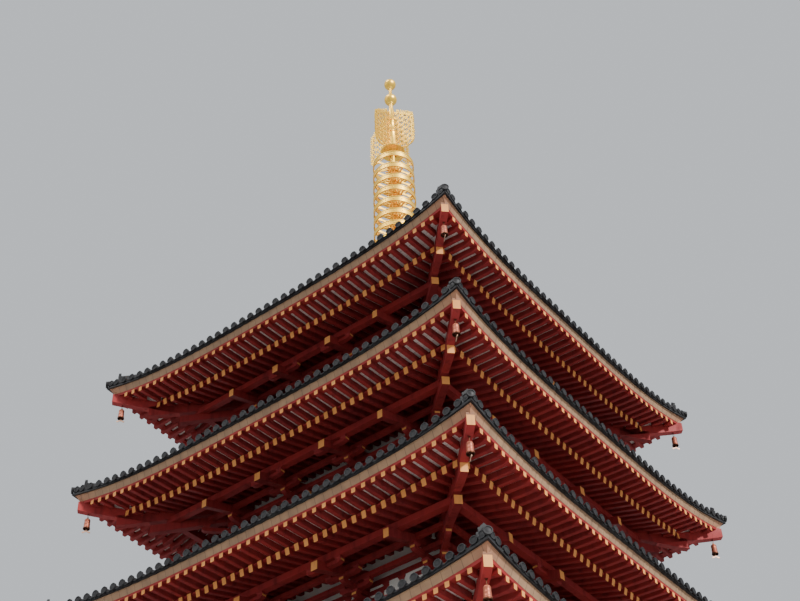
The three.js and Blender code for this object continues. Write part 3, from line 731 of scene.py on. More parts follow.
def at_places(name, shape, materials, places, seed=1, smooth=None):
    """Copies of a shape at places, each a (point, turn, stretch)."""
    host = bpy.data.meshes.new(name)
    host.from_pydata([place[0] for place in places], [], [])
    for column, label in ((1, "turn"), (2, "stretch")):
        layer = host.attributes.new(label, "FLOAT_VECTOR", "POINT")
        layer.data.foreach_set("vector", np.array([place[column] for place in places], np.float32).ravel())
    return grown(name, PLACES_RECIPE, host, shape, {}, materials, seed, smooth)


def plain(name, shape, materials, smooth=None):
    piece = bpy.data.objects.new(name, shape.mesh(name, smooth))
    for material in materials:
        piece.data.materials.append(material)
    bpy.context.scene.collection.objects.link(piece)
    return piece


def one_piece(name, parts, replaces=(), body="tower"):
    """Joins its parts into one piece that rides on a body and stands for CAD nodes."""
    first = parts[0]
    if len(parts) > 1:
        with bpy.context.temp_override(
                active_object=first, object=first, selected_objects=parts, selected_editable_objects=parts):
            bpy.ops.object.join()
    first.name = name
    first.data.name = name
    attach(first, body)
    if replaces:
        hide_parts(*replaces)


def plain_piece(name, shape, materials, replaces=(), body="tower", smooth=None):
    """A piece that is a single shape."""
    one_piece(name, [plain(name, shape, materials, smooth)], replaces, body)


def upright(point):
    """A place for a shape as it is drawn, neither turned nor stretched."""
    return point, (0, 0, 0), (1, 1, 1)


def turned_places(places, first_quarter=0):
    """Places drawn for the side that faces +X, or for a corner there, for all four."""
    result = []
    for quarter in range(len(SIDES)):
        angle = (quarter + first_quarter) * QUARTER
        spin = Matrix.Rotation(angle, 3, "Z")
        result += [(tuple(spin @ Vector(point)), (turn[0], turn[1], turn[2] + angle), stretch)
                   for point, turn, stretch in places]
    return result


# Eaves


def base_foot_at(storey, out):
    """The foot of the base rafters at a distance out, from the eave line."""
    return BASE_TIP_FOOT + RAFTER_SLOPE * (storey.base_tip - out)


def rafter(width, height, chamfer=0.012):
    """A rafter of unit length that runs in from its tip, with the two lower edges taken off."""
    half = width / 2
    section = [(-half, height), (-half, chamfer), (-half + chamfer, 0), (half - chamfer, 0),
               (half, chamfer), (half, height)]
    tip = [(0.0, y, z) for y, z in section]
    heel = [(-1.0, y, z) for y, z in section]
    return between(tip, heel, [1] + [0] * (len(section) + 1))


def count_and_pitch(half, pitch):
    """How many at about a pitch fill a side, and the pitch that makes them fit."""
    count = round(half / pitch * 2) + 1
    return count, half / ((count - 1) / 2)


def rafters(storey):
    """Flying rafters above and beyond the base ones. Both stop short of the hips."""
    eave = storey.eave
    last_from_corner = 0.4245
    count, pitch = count_and_pitch(storey.fly_tip + CORNER_BOW - last_from_corner, RAFTER_PITCH)
    heel = (storey.base_tip - 0.16, eave - 0.431, BASE_RISE - 0.02, BASE_BOW)
    flying = row(
        "flying", rafter(0.11, FLYING_HEIGHT), [RED, PALE_END], count, pitch, storey.fly_tip,
        eave + FLYING_FOOT, FLYING_RISE, CORNER_BOW, inner=heel, clearance=0.17, seed=10 + storey.number)
    base_count = count
    while (base_count - 1) / 2 * pitch > storey.base_tip - 0.14:
        base_count -= 2
    inner = storey.body_half + 0.02
    heel = (inner, eave + base_foot_at(storey, inner), 0.0, 0.0)
    base = row(
        "base", rafter(0.12, BASE_HEIGHT), [RED, PALE_END], base_count, pitch, storey.base_tip,
        eave + BASE_TIP_FOOT, BASE_RISE, BASE_BOW, inner=heel, clearance=0.15, seed=20 + storey.number)
    one_piece(f"{storey.name}_rafters", [flying, base], [f"{storey.name}_eaves"])


def corner_beam_outlines(storey):
    """The flying and the base corner beam as (distance along the diagonal, height), and their end edges."""
    fly_end, base_end = storey.eave_half - 0.009, storey.eave_half - 0.759
    fly_start, base_start = storey.base_tip - 0.5, storey.body_half + 0.05
    fly_foot, steps = -0.615, 6
    flying = [(fly_start, fly_foot)]
    for step in range(1, steps + 1):
        share = step / steps
        out = fly_start + (fly_end - fly_start) * share
        flying.append((out, fly_foot + 0.24 * share + 0.062 * share ** 3))
    flying += [(fly_end, -0.052), (fly_end - 0.1, -0.035), (fly_start, -0.37)]
    climb = RAFTER_SLOPE * (base_end - base_start)
    base = [(base_start, -0.74 + climb), (base_end - 0.25, -0.70), (base_end, -0.74), (base_end, -0.44),
            (base_start, -0.44 + climb)]
    return [([(half * DIAGONAL, storey.eave + height) for half, height in outline], edge)
            for outline, edge in ((flying, steps), (base, 2))]


def eave_beams(storey):
    """The beam that ties the tips of each tier of rafters, and the two beams of each corner."""
    eave, base, fly = storey.eave, storey.base_tip, storey.fly_tip
    beam_half = 0.088
    over_base = [(base + out, height, BASE_RISE, BASE_BOW) for out, height in (
        (-0.15, -0.487), (-0.012, -0.487), (-0.012, -0.434), (-0.15, -0.434))]
    over_flying = [(fly + out, height, rise, CORNER_BOW) for out, height, rise in (
        (-0.2, -0.364, FLYING_RISE), (0.002, -0.364, FLYING_RISE),
        (0.02, -0.312, EDGE_FOOT_RISE), (-0.2, -0.27, EDGE_FOOT_RISE))]
    shape = Shape()
    for section in (over_base, over_flying):
        shape.put(carried_round(section_at(eave, section)))
    for outline, edge in corner_beam_outlines(storey):
        shape.on_four_corners(prism(outline, -beam_half, beam_half, {edge}))
    plain_piece(f"{storey.name}_eave_beams", shape, [RED, PALE_END])


def soffit_boards(storey):
    """The boards above each tier of rafters, from heel to tip."""
    base, fly, inner = storey.base_tip, storey.fly_tip, storey.body_half - 0.06
    thickness = 0.02
    inner_top = base_foot_at(storey, inner) + BASE_HEIGHT - 0.003
    flying_top, base_top = FLYING_FOOT + FLYING_HEIGHT + 0.004, BASE_TIP_FOOT + BASE_HEIGHT + 0.025
    shape = Shape()
    for heel, tip in (
            ((base - 0.14, -0.27, BASE_RISE, BASE_BOW), (fly - 0.15, flying_top, FLYING_RISE, 0.1)),
            ((inner, inner_top, 0.0, 0.0), (base - 0.1, base_top, BASE_RISE, BASE_BOW))):
        upper = [(out, height + thickness, rise, bow) for out, height, rise, bow in (tip, heel)]
        shape.put(carried_round(section_at(storey.eave, [heel, tip] + upper)))
    plain_piece(f"{storey.name}_soffit_boards", shape, [SOFFIT])


def eave_fascia(storey):
    """The pale board under the tiles, with a block in the mitre of each corner."""
    eave, fly = storey.eave, storey.fly_tip
    outline = [(-0.1, -0.314), (0.026, -0.314), (0.074, -0.172), (0.088, -0.168), (0.091, -0.145),
               (-0.1, -0.145)]
    rises = [EDGE_FOOT_RISE] * 2 + [EDGE_RISE] * 4
    bows = [CORNER_BOW] * 2 + [FASCIA_BOW] * 3 + [CORNER_BOW]
    section = [(fly + out, height, rise, bow) for (out, height), rise, bow in zip(outline, rises, bows)]
    fascia = carried_round(section_at(eave, section))
    mitre = [(-0.1, -0.1), (0.12, -0.1), (0.142, 0.03), (-0.1, 0.03)]
    mitre = [((fly + out) * DIAGONAL, eave + height) for out, height in mitre]
    fascia.on_four_corners(prism(mitre, -0.084, 0.084))
    plain_piece(f"{storey.name}_eave_fascia", fascia, [FASCIA])


# Bells


HINGE_HEIGHT = -0.4
HINGE_FROM_EDGE = 0.219
FIRST_SWINGING_STOREY = 4


def staple():
    legs = [(-0.03, 0.11), (-0.03, -0.006), (0.03, -0.006), (0.03, 0.11), (0.02, 0.11), (0.02, 0.006),
            (-0.02, 0.006), (-0.02, 0.11)]
    return moved(prism(legs, -0.0025, 0.0025), turn=QUARTER)


def bell_body(sides):
    """The hollow bell: down its inside, round the lip, and up over its bands to the crown."""
    return turned([
        (0, -0.14), (0.05, -0.156), (0.063, -0.176), (0.072, -0.3), (0.075, -0.39), (0.084, -0.445),
        (0.096, -0.446), (0.0965, -0.432), (0.089, -0.412), (0.085, -0.392), (0.0865, -0.384),
        (0.082, -0.378), (0.0785, -0.31), (0.081, -0.304), (0.081, -0.29), (0.0775, -0.284),
        (0.0755, -0.202), (0.079, -0.196), (0.079, -0.186), (0.074, -0.17), (0.06, -0.148),
        (0.036, -0.13), (0, -0.110),
    ], sides)


def bell_link():
    """A flat link through the staple: it hangs on the cross bar and holds the crown."""
    half = 0.007
    outer = [(-0.02, -0.118), (0.02, -0.118), (0.02, 0.012), (0.014, 0.0185), (-0.014, 0.0185),
             (-0.02, 0.012)]
    inner = [(-0.012, -0.09), (0.012, -0.09), (0.012, 0.004), (0.009, 0.0068), (-0.009, 0.0068),
             (-0.012, 0.004)]
    count = len(outer)
    points = [(x, y, z) for y in (half, -half) for ring in (outer, inner) for x, z in ring]
    faces = []
    for i in range(count):
        j = (i + 1) % count
        far_out, far_in, near_out, near_in = i, count + i, 2 * count + i, 3 * count + i
        to_far_out, to_far_in, to_near_out, to_near_in = j, count + j, 2 * count + j, 3 * count + j
        faces.append((far_out, to_far_out, to_near_out, near_out))
        faces.append((to_far_in, far_in, near_in, to_near_in))
        faces.append((near_out, to_near_out, to_near_in, near_in))
        faces.append((to_far_out, far_out, far_in, to_far_in))
    return Shape().take(points, faces)


def wind_bell(sides=20):
    """A bell hung from its hinge at the origin, its rim, link and clapper darker and its fin pale."""
    rim_top = -0.415
    bell = bell_body(sides)
    heights = [sum(bell.points[corner][2] for corner in face) / len(face) for face in bell.faces]
    bell.marks = [int(height < rim_top) for height in heights]
    rod = turned([(0, -0.49), (0.007, -0.49), (0.007, -0.125), (0, -0.125)], 8)
    clapper = turned([(0, -0.43), (0.018, -0.425), (0.026, -0.41), (0.018, -0.395), (0, -0.39)], 10)
    half_tail = [(-0.014, -0.465), (-0.024, -0.497), (-0.06, -0.522), (-0.108, -0.53), (-0.112, -0.566),
                 (-0.086, -0.574), (-0.05, -0.56), (-0.016, -0.532)]
    fin = prism(mirrored(half_tail, [(0, -0.54)]), -0.006, 0.006)
    for part, mark in ((bell_link(), 1), (rod, 1), (clapper, 1), (fin, 2)):
        part.marks = [mark] * len(part.faces)
        bell.put(part)
    return bell


def bells(storey):
    """A bell at each corner. The upper ones swing, each on a body of its own."""
    out, hinge = (storey.eave_half - HINGE_FROM_EDGE) * DIAGONAL, storey.eave + HINGE_HEIGHT
    hung = moved(wind_bell(), x=out, z=hinge)
    if storey.number >= FIRST_SWINGING_STOREY:
        for turn, corner in enumerate(CORNERS):
            node = f"bell_{storey.number}_{corner}"
            bell = Shape().put(hung, Matrix.Rotation((turn + TO_FIRST_CORNER) * QUARTER, 4, "Z"))
            plain_piece(f"{node}_wind_bell", bell, BELL_COLOURS, [node], node, smooth=40)
    else:
        still = Shape().on_four_corners(hung)
        plain_piece(f"{storey.name}_wind_bells", still, BELL_COLOURS, smooth=40)
    staples = Shape().on_four_corners(moved(staple(), x=out, z=hinge))
    plain_piece(f"{storey.name}_bell_staples", staples, [DARK_BRONZE])


# Roofs


EAVE_KICK = 0.06
EAVE_KICK_LENGTH = 0.3


def roof_sizes(storey):
    """The tiled slope's foot and its head, each as how far out and how high, and its sag."""
    foot_out, foot = storey.eave_half + 0.06, 0.01
    if storey is top_storey:
        head_out, head, sag = 0.36, 4.15, 0.42
    else:
        above = storeys[storey.number]
        head_out, head, sag = above.body_half + 0.5203, ROOF_HEAD, 0.2
    return foot_out, foot, head_out, head, sag


def slope_at(storey, share):
    """The tiled slope a share of the way up: how far out, how high, and its rise and bow at the corners."""
    foot_out, foot, head_out, head, sag = roof_sizes(storey)
    out = foot_out + (head_out - foot_out) * share
    height = foot + (head - foot) * (share * (1 - sag) + sag * share ** 2)
    height = height - EAVE_KICK * (1 - np.exp((out - foot_out) / EAVE_KICK_LENGTH)) * (1 - share)
    return out, height, TILE_RISE * (1 - share) ** 1.5, CORNER_BOW * (1 - share)


def slope_line(storey, along, clear, lift, samples=161):
    """Points up the slope at a distance along the side, as far as the hip or the head."""
    shares = np.linspace(0, 1, samples)
    out, height, rise, bow = slope_at(storey, shares)
    near = np.minimum(1, abs(along) / (out + bow)) ** RISE_POWER
    outs, heights = out + bow * near, storey.eave + height + rise * near + lift
    keep = outs > abs(along) + clear
    return outs[keep], heights[keep]


def tiles_on_line(outs, heights, along, overlap, start):
    """Places for tiles laid up a slope line, from its foot, each the stretch of a unit tile."""
    shortest = 0.07
    steps = np.hypot(np.diff(outs), np.diff(heights))
    way = np.concatenate([[0], np.cumsum(steps)])
    total = way[-1]
    places = []
    low = start
    while low < total - shortest:
        high = min(low + TILE_LENGTH, total)
        if total - high < shortest:
            high = total
        x0, x1 = np.interp([low, high], way, outs)
        z0, z1 = np.interp([low, high], way, heights)
        lean = math.atan2(z1 - z0, x0 - x1)
        places.append(((x0, along, z0), (0.0, lean, 0.0), (high - low + overlap, 1.0, 1.0)))
        low = high
    return places


def round_tile():
    """A cover tile of unit length, wider at its lower end, laid hollow side down."""
    angles = [math.radians(angle) for angle in (-32, 20, 64, 116, 160, 212)]
    tip, heel = [[(x, radius * math.cos(angle), radius * math.sin(angle)) for angle in angles]
                 for x, radius in ((0.0, 0.07), (-1.0, 0.061))]
    return between(tip, heel)


def pan_tile(width=0.22):
    """A hollow tile of unit length between two cover tiles, its lower edge lifted clear of the next."""
    half = width / 2
    top = [(-half, 0.01), (0, -0.026), (half, 0.01)]
    rings = [[(x, y, z + lift) for y, z in top] + [(x, y, z + lift - 0.024) for y, z in top[::-1]]
             for x, lift in ((0.0, 0.022), (-1.0, -0.006))]
    count = len(rings[0])
    faces = [tuple(range(count))[::-1], tuple(range(count, 2 * count))]
    faces += [((i + 1) % count, (i + 1) % count + count, i + count, i) for i in range(count)]
    return Shape().take(rings[0] + rings[1], faces)


def end_cap(sides=12):
    """The closed end of a cover tile: a disc with a raised rim round a sunk face and a boss."""
    profile = [(0.085, -0.06), (0.095, -0.052), (0.096, 0.0), (0.076, 0.001), (0.07, -0.012),
               (0.033, -0.011)]
    angles = [2 * math.pi * side / sides for side in range(sides)]
    rings = [[(x, radius * math.cos(angle), radius * math.sin(angle)) for angle in angles]
             for radius, x in profile]
    points = [point for ring in rings for point in ring] + [(0.004, 0, 0)]
    faces = [tuple(range(sides))[::-1]]
    for ring in range(len(rings) - 1):
        for side in range(sides):
            after = (side + 1) % sides
            a, b = ring * sides + side, ring * sides + after
            faces.append((a, b, b + sides, a + sides))
    last = (len(rings) - 1) * sides
    faces += [(last + side, last + (side + 1) % sides, len(points) - 1) for side in range(sides)]
    return Shape().take(points, faces)


def edge_tile(width):
    """The front of a pan tile at the eave, with a drooping lip."""
    half = width / 2
    ys = [-half, -half / 2, 0, half / 2, half]
    tops = [-0.052, -0.07, -0.078, -0.07, -0.052]
    feet = [-0.106, -0.114, -0.118, -0.114, -0.106]
    points = [(x, y, z) for x in (0.0, -0.13) for heights in (tops, feet) for y, z in zip(ys, heights)]
    faces = []
    count = len(ys)
    for i in range(count - 1):
        front_top, front_foot, back_top, back_foot = i, count + i, 2 * count + i, 3 * count + i
        faces.append((front_top, front_foot, front_foot + 1, front_top + 1))
        faces.append((back_top + 1, back_foot + 1, back_foot, back_top))
        faces.append((back_top, front_top, front_top + 1, back_top + 1))
        faces.append((front_foot, back_foot, back_foot + 1, front_foot + 1))
    left = (0, 2 * count, 3 * count, count)
    faces += [left, tuple(i + count - 1 for i in left[::-1])]
    return Shape().take(points, faces)


def tile_rows(storey):
    """How many cover tiles a side has between its corners, with one in its middle, and their pitch."""
    reach = storey.eave_half + 0.081
    each_way = round(reach / TILE_PITCH)
    return 2 * each_way - 1, reach / each_way


# How the tiles lie to the slope and to the eave line.
COVER_LIFT = -0.064
PAN_LIFT = -0.126
CAP_HEIGHT = -0.038


def pan_line(storey, along):
    """Pan tiles up one line, rolled with the eave at its foot and with the roof at its head."""
    outs, heights = slope_line(storey, along, 0.05, PAN_LIFT)
    if len(outs) < 3:
        return []
    step = 0.02
    beside_outs, beside_heights = slope_line(storey, along + step, 0.0, PAN_LIFT)
    beside = np.interp(outs[-1], beside_outs[::-1], beside_heights[::-1])
    head_roll = math.atan2(beside - heights[-1], step)
    near = (abs(along) / (storey.eave_half + CORNER_BOW)) ** (RISE_POWER - 1)
    foot_roll = math.atan(TILE_RISE * RISE_POWER * near / storey.eave_half * math.copysign(1, along))
    tiles = tiles_on_line(outs, heights, along, overlap=0.02, start=0.05)
    last = max(len(tiles) - 1, 1)
    return [(point, (foot_roll + (head_roll - foot_roll) * (index / last), *turn[1:]), stretch)
            for index, (point, turn, stretch) in enumerate(tiles)]


def tiled_slopes(storey):
    """Rows of cover tiles, with lines of pan tiles between them, on a bed."""
    count, pitch = tile_rows(storey)
    covers = []
    for index in range(count):
        along = (index - (count - 1) / 2) * pitch
        outs, heights = slope_line(storey, along, 0.08, COVER_LIFT)
        covers += tiles_on_line(outs, heights, along, overlap=0.03, start=0.03)
    pans = []
    for index in range(count + 1):
        along = (index - count / 2) * pitch
        if abs(along) <= storey.eave_half - 0.02:
            pans += pan_line(storey, along)
    covers, pans = turned_places(covers), turned_places(pans)
    parts = [at_places("covers", round_tile(), [TILE], covers, seed=30 + storey.number, smooth=50),
             at_places("pans", pan_tile(), [TILE], pans, seed=40 + storey.number),
             plain("bed", roof_bed(storey), [TILE])]
    one_piece(f"{storey.name}_roof_tiles", parts, [f"{storey.name}_roof"])


def roof_bed(storey):
    """What the tiles lie on, and courses of flat tiles where the roof meets the storey above."""
    shares = [0.0, 0.15, 0.3, 0.5, 0.75, 1.0] if storey is top_storey else [0.0, 0.2, 0.45, 0.7, 1.0]
    upper = []
    for share in shares:
        out, height, rise, bow = slope_at(storey, share)
        setback, depth = (0.11, 0.13) if share == 0 else (0, 0.15)
        upper.append((out - setback, height - depth, rise, bow))
    lower = [(out, height - 0.045, rise, bow) for out, height, rise, bow in upper[::-1]]
    lower[-1] = (lower[-1][0], EDGE_FOOT, EDGE_RISE, CORNER_BOW)
    shape = carried_round(section_at(storey.eave, upper + lower))
    if storey is not top_storey:
        head = roof_sizes(storey)[2]
        foot = storey.eave + ROOF_HEAD
        for step in range(3):
            reach = 0.15 - 0.03 * step
            low = foot - 0.06 + step * 0.05
            shape.put(level_ring(head - 0.01, head + reach, low, low + 0.042))
    return shape


def eave_tiles(storey):
    """Along the eave: the ends of the cover tiles, the lips of the pan tiles, and what they lie on."""
    count, pitch = tile_rows(storey)
    out = storey.eave_half + 0.035
    level = storey.eave + CAP_HEIGHT
    caps = row("caps", end_cap(), [TILE], count, pitch, out, level, TILE_RISE, CORNER_BOW,
               seed=50 + storey.number, smooth=40)
    last = storey.eave_half - 0.01
    near = (last / (out + CORNER_BOW)) ** RISE_POWER
    by_corners = turned_places([upright((out + CORNER_BOW * near, along, level + TILE_RISE * near))
                                for along in (-last, last)])
    last_caps = at_places("last_caps", end_cap(), [TILE], by_corners, seed=55 + storey.number, smooth=40)
    lips = row("lips", edge_tile(pitch * 0.985), [TILE], count + 1, pitch, out - 0.055, level,
               TILE_RISE, CORNER_BOW, following=1.0, seed=60 + storey.number)
    back, front, top = out - 0.3, out - 0.085, -0.09
    edge = [(back, EDGE_FOOT, EDGE_RISE, CORNER_BOW), (front, EDGE_FOOT, EDGE_RISE, CORNER_TILE_BOW),
            (front, top, EDGE_RISE, CORNER_TILE_BOW), (back, top, EDGE_RISE, CORNER_BOW)]
    strip = plain("strip", carried_round(section_at(storey.eave, edge)), [TILE])
    one_piece(f"{storey.name}_eave_tiles", [caps, last_caps, lips, strip])


def hip_line(storey, first, last, steps, lift):
    """Points up the hip, as (distance along the diagonal, 0, height)."""
    points = []
    for step in range(steps + 1):
        out, height, rise, bow = slope_at(storey, first + (last - first) * step / steps)
        points.append(((out + bow) * DIAGONAL, 0.0, storey.eave + height + rise + lift))
    return points


def ridge_section(courses, half, foot):
    """Stacked flat tiles, each course a little narrower than the one below, as (side, up) points."""
    pitch, thickness, step, lap = 0.045, 0.033, 0.012, 0.014
    left = []
    for course in range(courses):
        reach = half - step * course
        low = foot + course * pitch
        left += [(-reach, low), (-reach, low + thickness), (lap - reach, low + thickness),
                 (lap - reach, low + pitch)]
    return mirrored(left[::-1])


def ridge_ornament():
    """The tile that closes a ridge: a pointed plate with curled shoulders and a boss."""
    half = [(0.15, -0.16), (0.16, 0.0), (0.17, 0.03), (0.145, 0.055), (0.12, 0.05), (0.115, 0.1),
            (0.13, 0.13), (0.12, 0.16), (0.085, 0.17), (0.07, 0.2), (0.03, 0.235)]
    plate = moved(prism(mirrored(half, [(0.0, 0.27)]), -0.03, 0.03), turn=QUARTER)
    boss = facing_out(turned([(0, -0.02), (0.058, -0.02), (0.058, 0.014), (0.042, 0.015), (0.034, 0.006),
                              (0.014, 0.02), (0, 0.024)], 16))
    return plate.put(boss, Matrix.Translation((0.03, 0, 0.11)))


def ridge_tiles(line, start):
    """Places for cover tiles laid along a hip."""
    outs, heights = [np.array([point[axis] for point in line]) for axis in (0, 2)]
    return tiles_on_line(outs, heights, 0.0, overlap=0.03, start=start)


def hip_ridges(storey):
    """The four ridges: stacked courses with a crown of cover tiles, closed by a plate near the corner."""
    foot_out, _, head_out, _, _ = roof_sizes(storey)
    corner = foot_out + CORNER_BOW
    first = (corner - (storey.eave_half - 0.12)) / (corner - head_out)
    last, steps = (0.965, 26) if storey is top_storey else (1.0, 14)
    foot_line = hip_line(storey, first, last, steps, lift=0.0)
    courses = ridge_section(courses=7, half=0.16, foot=-0.18)
    shape = Shape().on_four_corners(swept(foot_line, courses))
    foot_x, _, foot_z = foot_line[0]
    shape.on_four_corners(moved(ridge_ornament(), x=foot_x + 0.03, z=foot_z + 0.05))
    crown = ridge_tiles(hip_line(storey, first, last, steps=120, lift=0.135), start=0.0)
    crown += ridge_tiles(hip_line(storey, 0.0, first, steps=40, lift=-0.03), start=0.07)
    crown = turned_places(crown, TO_FIRST_CORNER)
    cap = moved(end_cap(16), x=(storey.eave_half + CORNER_BOW + 0.045) * DIAGONAL, z=storey.eave + 0.345)
    parts = [plain("ridge", shape, [TILE], smooth=35),
             at_places("crown", round_tile(), [TILE], crown, seed=70 + storey.number, smooth=50),
             plain("corner_caps", Shape().on_four_corners(cap), [TILE], smooth=40)]
    one_piece(f"{storey.name}_hip_ridges", parts)


# Brackets under the eaves


ARM_WIDTH = 0.13
LOWER_ARM = -0.99
UPPER_ARM = -0.80


def bearing_block(size, height):
    """A bracket block: square, with its lower part cut in."""
    half = size / 2 * DIAGONAL
    profile = [(0, 0), (half * 0.72, 0), (half * 0.8, height * 0.2), (half, height * 0.48), (half, height),
               (0, height)]
    return turned(profile, 4, QUARTER / 2)


def bracket_arm(low, high, foot, height, free_low=True):
    """A bracket arm along X, its free ends curved up underneath, with painted ends."""
    top, shoulder, bend = foot + height, foot + height * 0.5, foot + height * 0.14
    outline = [(high - 0.14, foot), (high - 0.06, bend), (high, shoulder), (high, top)]
    pale = {2}
    if free_low:
        outline += [(low, top), (low, shoulder), (low + 0.06, bend), (low + 0.14, foot)]
        pale.add(4)
    else:
        outline += [(low, top), (low, foot)]
    return prism(outline, -ARM_WIDTH / 2, ARM_WIDTH / 2, pale)


def across(shape, out):
    """Turns a shape drawn along X to run along the wall at a distance out."""
    return moved(shape, x=out, turn=QUARTER)


# The arms that step out, as (foot, height, reach).
TIERS = [(LOWER_ARM, 0.12, 0.47), (UPPER_ARM, 0.12, 0.93)]


def outward_arms(stretch=1.0):
    """The arms that step out from a column, and the blocks that they carry."""
    shape = Shape()
    for foot, height, reach in TIERS:
        shape.put(bracket_arm(-0.1, (reach + 0.09) * stretch, foot, height, free_low=False))
        shape.put(moved(bearing_block(0.2, 0.075), x=reach * stretch, z=foot + height - 0.002))
    return shape


def tail_beam(stretch=1.0, width=0.186):
    """The beam that slopes down through a bracket set, with a painted end."""
    outline = [(0.02, -0.336), (1.98, -0.94), (1.98, -0.71), (0.02, -0.112)]
    outline = [(out * stretch, height) for out, height in outline]
    return prism(outline, -width / 2, width / 2, {1})


def cross_arm(out, foot, length, height):
    """An arm along the wall with a block at each end and one in the middle."""
    shape = Shape().put(across(bracket_arm(-length, length, foot, height), out))
    for along in (-length + 0.09, 0.0, length - 0.09):
        shape.put(moved(bearing_block(0.18, 0.07), x=out, y=along, z=foot + height - 0.002))
    return shape


def bracket_set():
    shape = Shape()
    shape.put(moved(bearing_block(0.42, 0.2), z=PLATE_TOP))
    shape.put(outward_arms())
    shape.put(tail_beam())
    for out, foot, length, height in (
            (0.0, LOWER_ARM, 0.5, 0.12), (0.0, UPPER_ARM, 0.66, 0.12), (0.47, UPPER_ARM, 0.45, 0.12),
            (0.93, -0.665, 0.5, 0.1), (1.59, -0.76, 0.52, 0.1)):
        shape.put(cross_arm(out, foot, length, height))
    return shape


def corner_bracket_set():
    """The set on a corner column, drawn with the diagonal along X."""
    shape = Shape()
    shape.put(moved(bearing_block(0.42, 0.2), z=PLATE_TOP, turn=QUARTER / 2))
    for turn in (-QUARTER / 2, QUARTER / 2):
        shape.put(moved(outward_arms(), turn=turn))
        shape.put(moved(tail_beam(width=0.15), turn=turn))
        for foot, reach in ((LOWER_ARM, 0.5), (UPPER_ARM, 0.66)):
            shape.put(moved(bracket_arm(-reach, 0.0, foot, 0.12), turn=turn))
    shape.put(outward_arms(DIAGONAL))
    shape.put(tail_beam(DIAGONAL))
    return shape


def brackets(storey):
    """The bracket sets, the level beams that they carry, and the plaster between them."""
    eave, half = storey.eave, storey.body_half
    places = turned_places([upright((half, way * BAY_SPLIT * half, eave)) for way in (-1, 1)])
    corners = turned_places([upright((half * DIAGONAL, 0, eave))], TO_FIRST_CORNER)
    paint = [RED, PALE_END]
    sets = at_places("sets", bracket_set(), paint, places, seed=80 + storey.number)
    corner_sets = at_places("corner_sets", corner_bracket_set(), paint, corners, seed=90 + storey.number)
    purlin_top = base_foot_at(storey, half + 1.68) - 0.002
    beams = Shape()
    for inner, outer, foot, top in (
            (1.5, 1.68, purlin_top - 0.18, purlin_top), (0.405, 0.535, -0.605, -0.48),
            (0.865, 0.995, -0.50, -0.39), (-0.075, 0.075, -0.605, -0.47), (-0.075, 0.075, -0.27, -0.15)):
        beams.put(level_ring(half + inner, half + outer, eave + foot, eave + top))
    strut = Shape().put(block((half - 0.08, -0.065, eave + PLATE_TOP), (half + 0.08, 0.065, eave - 0.7)))
    strut.put(moved(bearing_block(0.2, 0.1), x=half, z=eave - 0.702))
    for along in (-storey.mid_bay, 0.0, storey.mid_bay):
        beams.on_four_sides(moved(strut, y=along))
    parts = [sets, corner_sets, plain("beams", beams, [RED])]
    one_piece(f"{storey.name}_bracket_sets", parts, [f"{storey.name}_brackets"])
    top = eave + base_foot_at(storey, half) + 0.1
    infill = level_ring(half - 0.055, half + 0.055, eave + PLATE_TOP, top)
    plain_piece(f"{storey.name}_bracket_plaster", infill, [PLASTER])


# Walls of a storey


def column_places(half, foot):
    """The twelve columns, three from each side."""
    return turned_places([upright((half, along * half, foot)) for along in (-1, -BAY_SPLIT, BAY_SPLIT)])


def framed_opening(face, reach, width, foot, top, bar):
    """Four bars round an opening in the wall that faces +X."""
    half = width / 2
    shape = Shape()
    for low, high in (
            ((-half - bar, foot - bar), (-half, top + bar)), ((half, foot - bar), (half + bar, top + bar)),
            ((-half, foot - bar), (half, foot)), ((-half, top), (half, top + bar))):
        shape.put(block((face, *low), (face + reach, *high)))
    return shape


def storey_frame(storey):
    """Columns, tie beams, and the frames of the windows and doors."""
    half, floor, radius = storey.body_half, storey.floor, storey.column_radius
    top = storey.eave + COLUMN_TOP
    tie_foot = top - TIE_DEPTH
    height = top - floor
    column = turned([(0, 0), (radius * 0.985, 0), (radius, 0.06), (radius, height * 0.6),
                     (radius * 0.97, height - 0.16), (radius * 0.86, height), (0, height)], 20)
    places = column_places(half, floor)
    columns = at_places("columns", column, [RED], places, seed=100 + storey.number, smooth=40)
    beams = Shape()
    reach = radius + 0.03
    face = half - WALL_SETBACK
    beams.put(level_ring(half - reach, half + reach, top, storey.eave + PLATE_TOP))
    beams.put(level_ring(face, half + 0.1, tie_foot, top))
    nose = radius * 0.62
    beams.put(level_ring(face, half + nose, floor + 0.015, floor + storey.sill_top))
    if storey.ground:
        beams.put(level_ring(face, half + 0.27, floor + storey.head_foot, floor + storey.head_top))
        beams.put(level_ring(face, half + 0.06, floor + 1.02, floor + 1.13))
    window = framed_opening(face - 0.02, storey.window_depth, storey.window_width,
                            floor + storey.window_foot, floor + storey.window_top, storey.window_bar)
    for along in (-storey.mid_bay, storey.mid_bay):
        beams.on_four_sides(moved(window, y=along))
    door_foot = floor + storey.sill_top
    door_top = floor + storey.head_foot if storey.ground else tie_foot
    edge = storey.door_width / 2
    for way in (-1, 1):
        low, high = sorted((way * edge, way * (edge + storey.jamb)))
        beams.on_four_sides(block((face, low, door_foot), (half + 0.09, high, door_top)))
    if not storey.ground:
        beams.on_four_sides(block((face, -edge, door_top - 0.05), (half + 0.09, edge, door_top)))
    parts = [columns, plain("beams", beams, [RED])]
    one_piece(f"{storey.name}_columns_and_ties", parts, [f"{storey.name}_frame"])


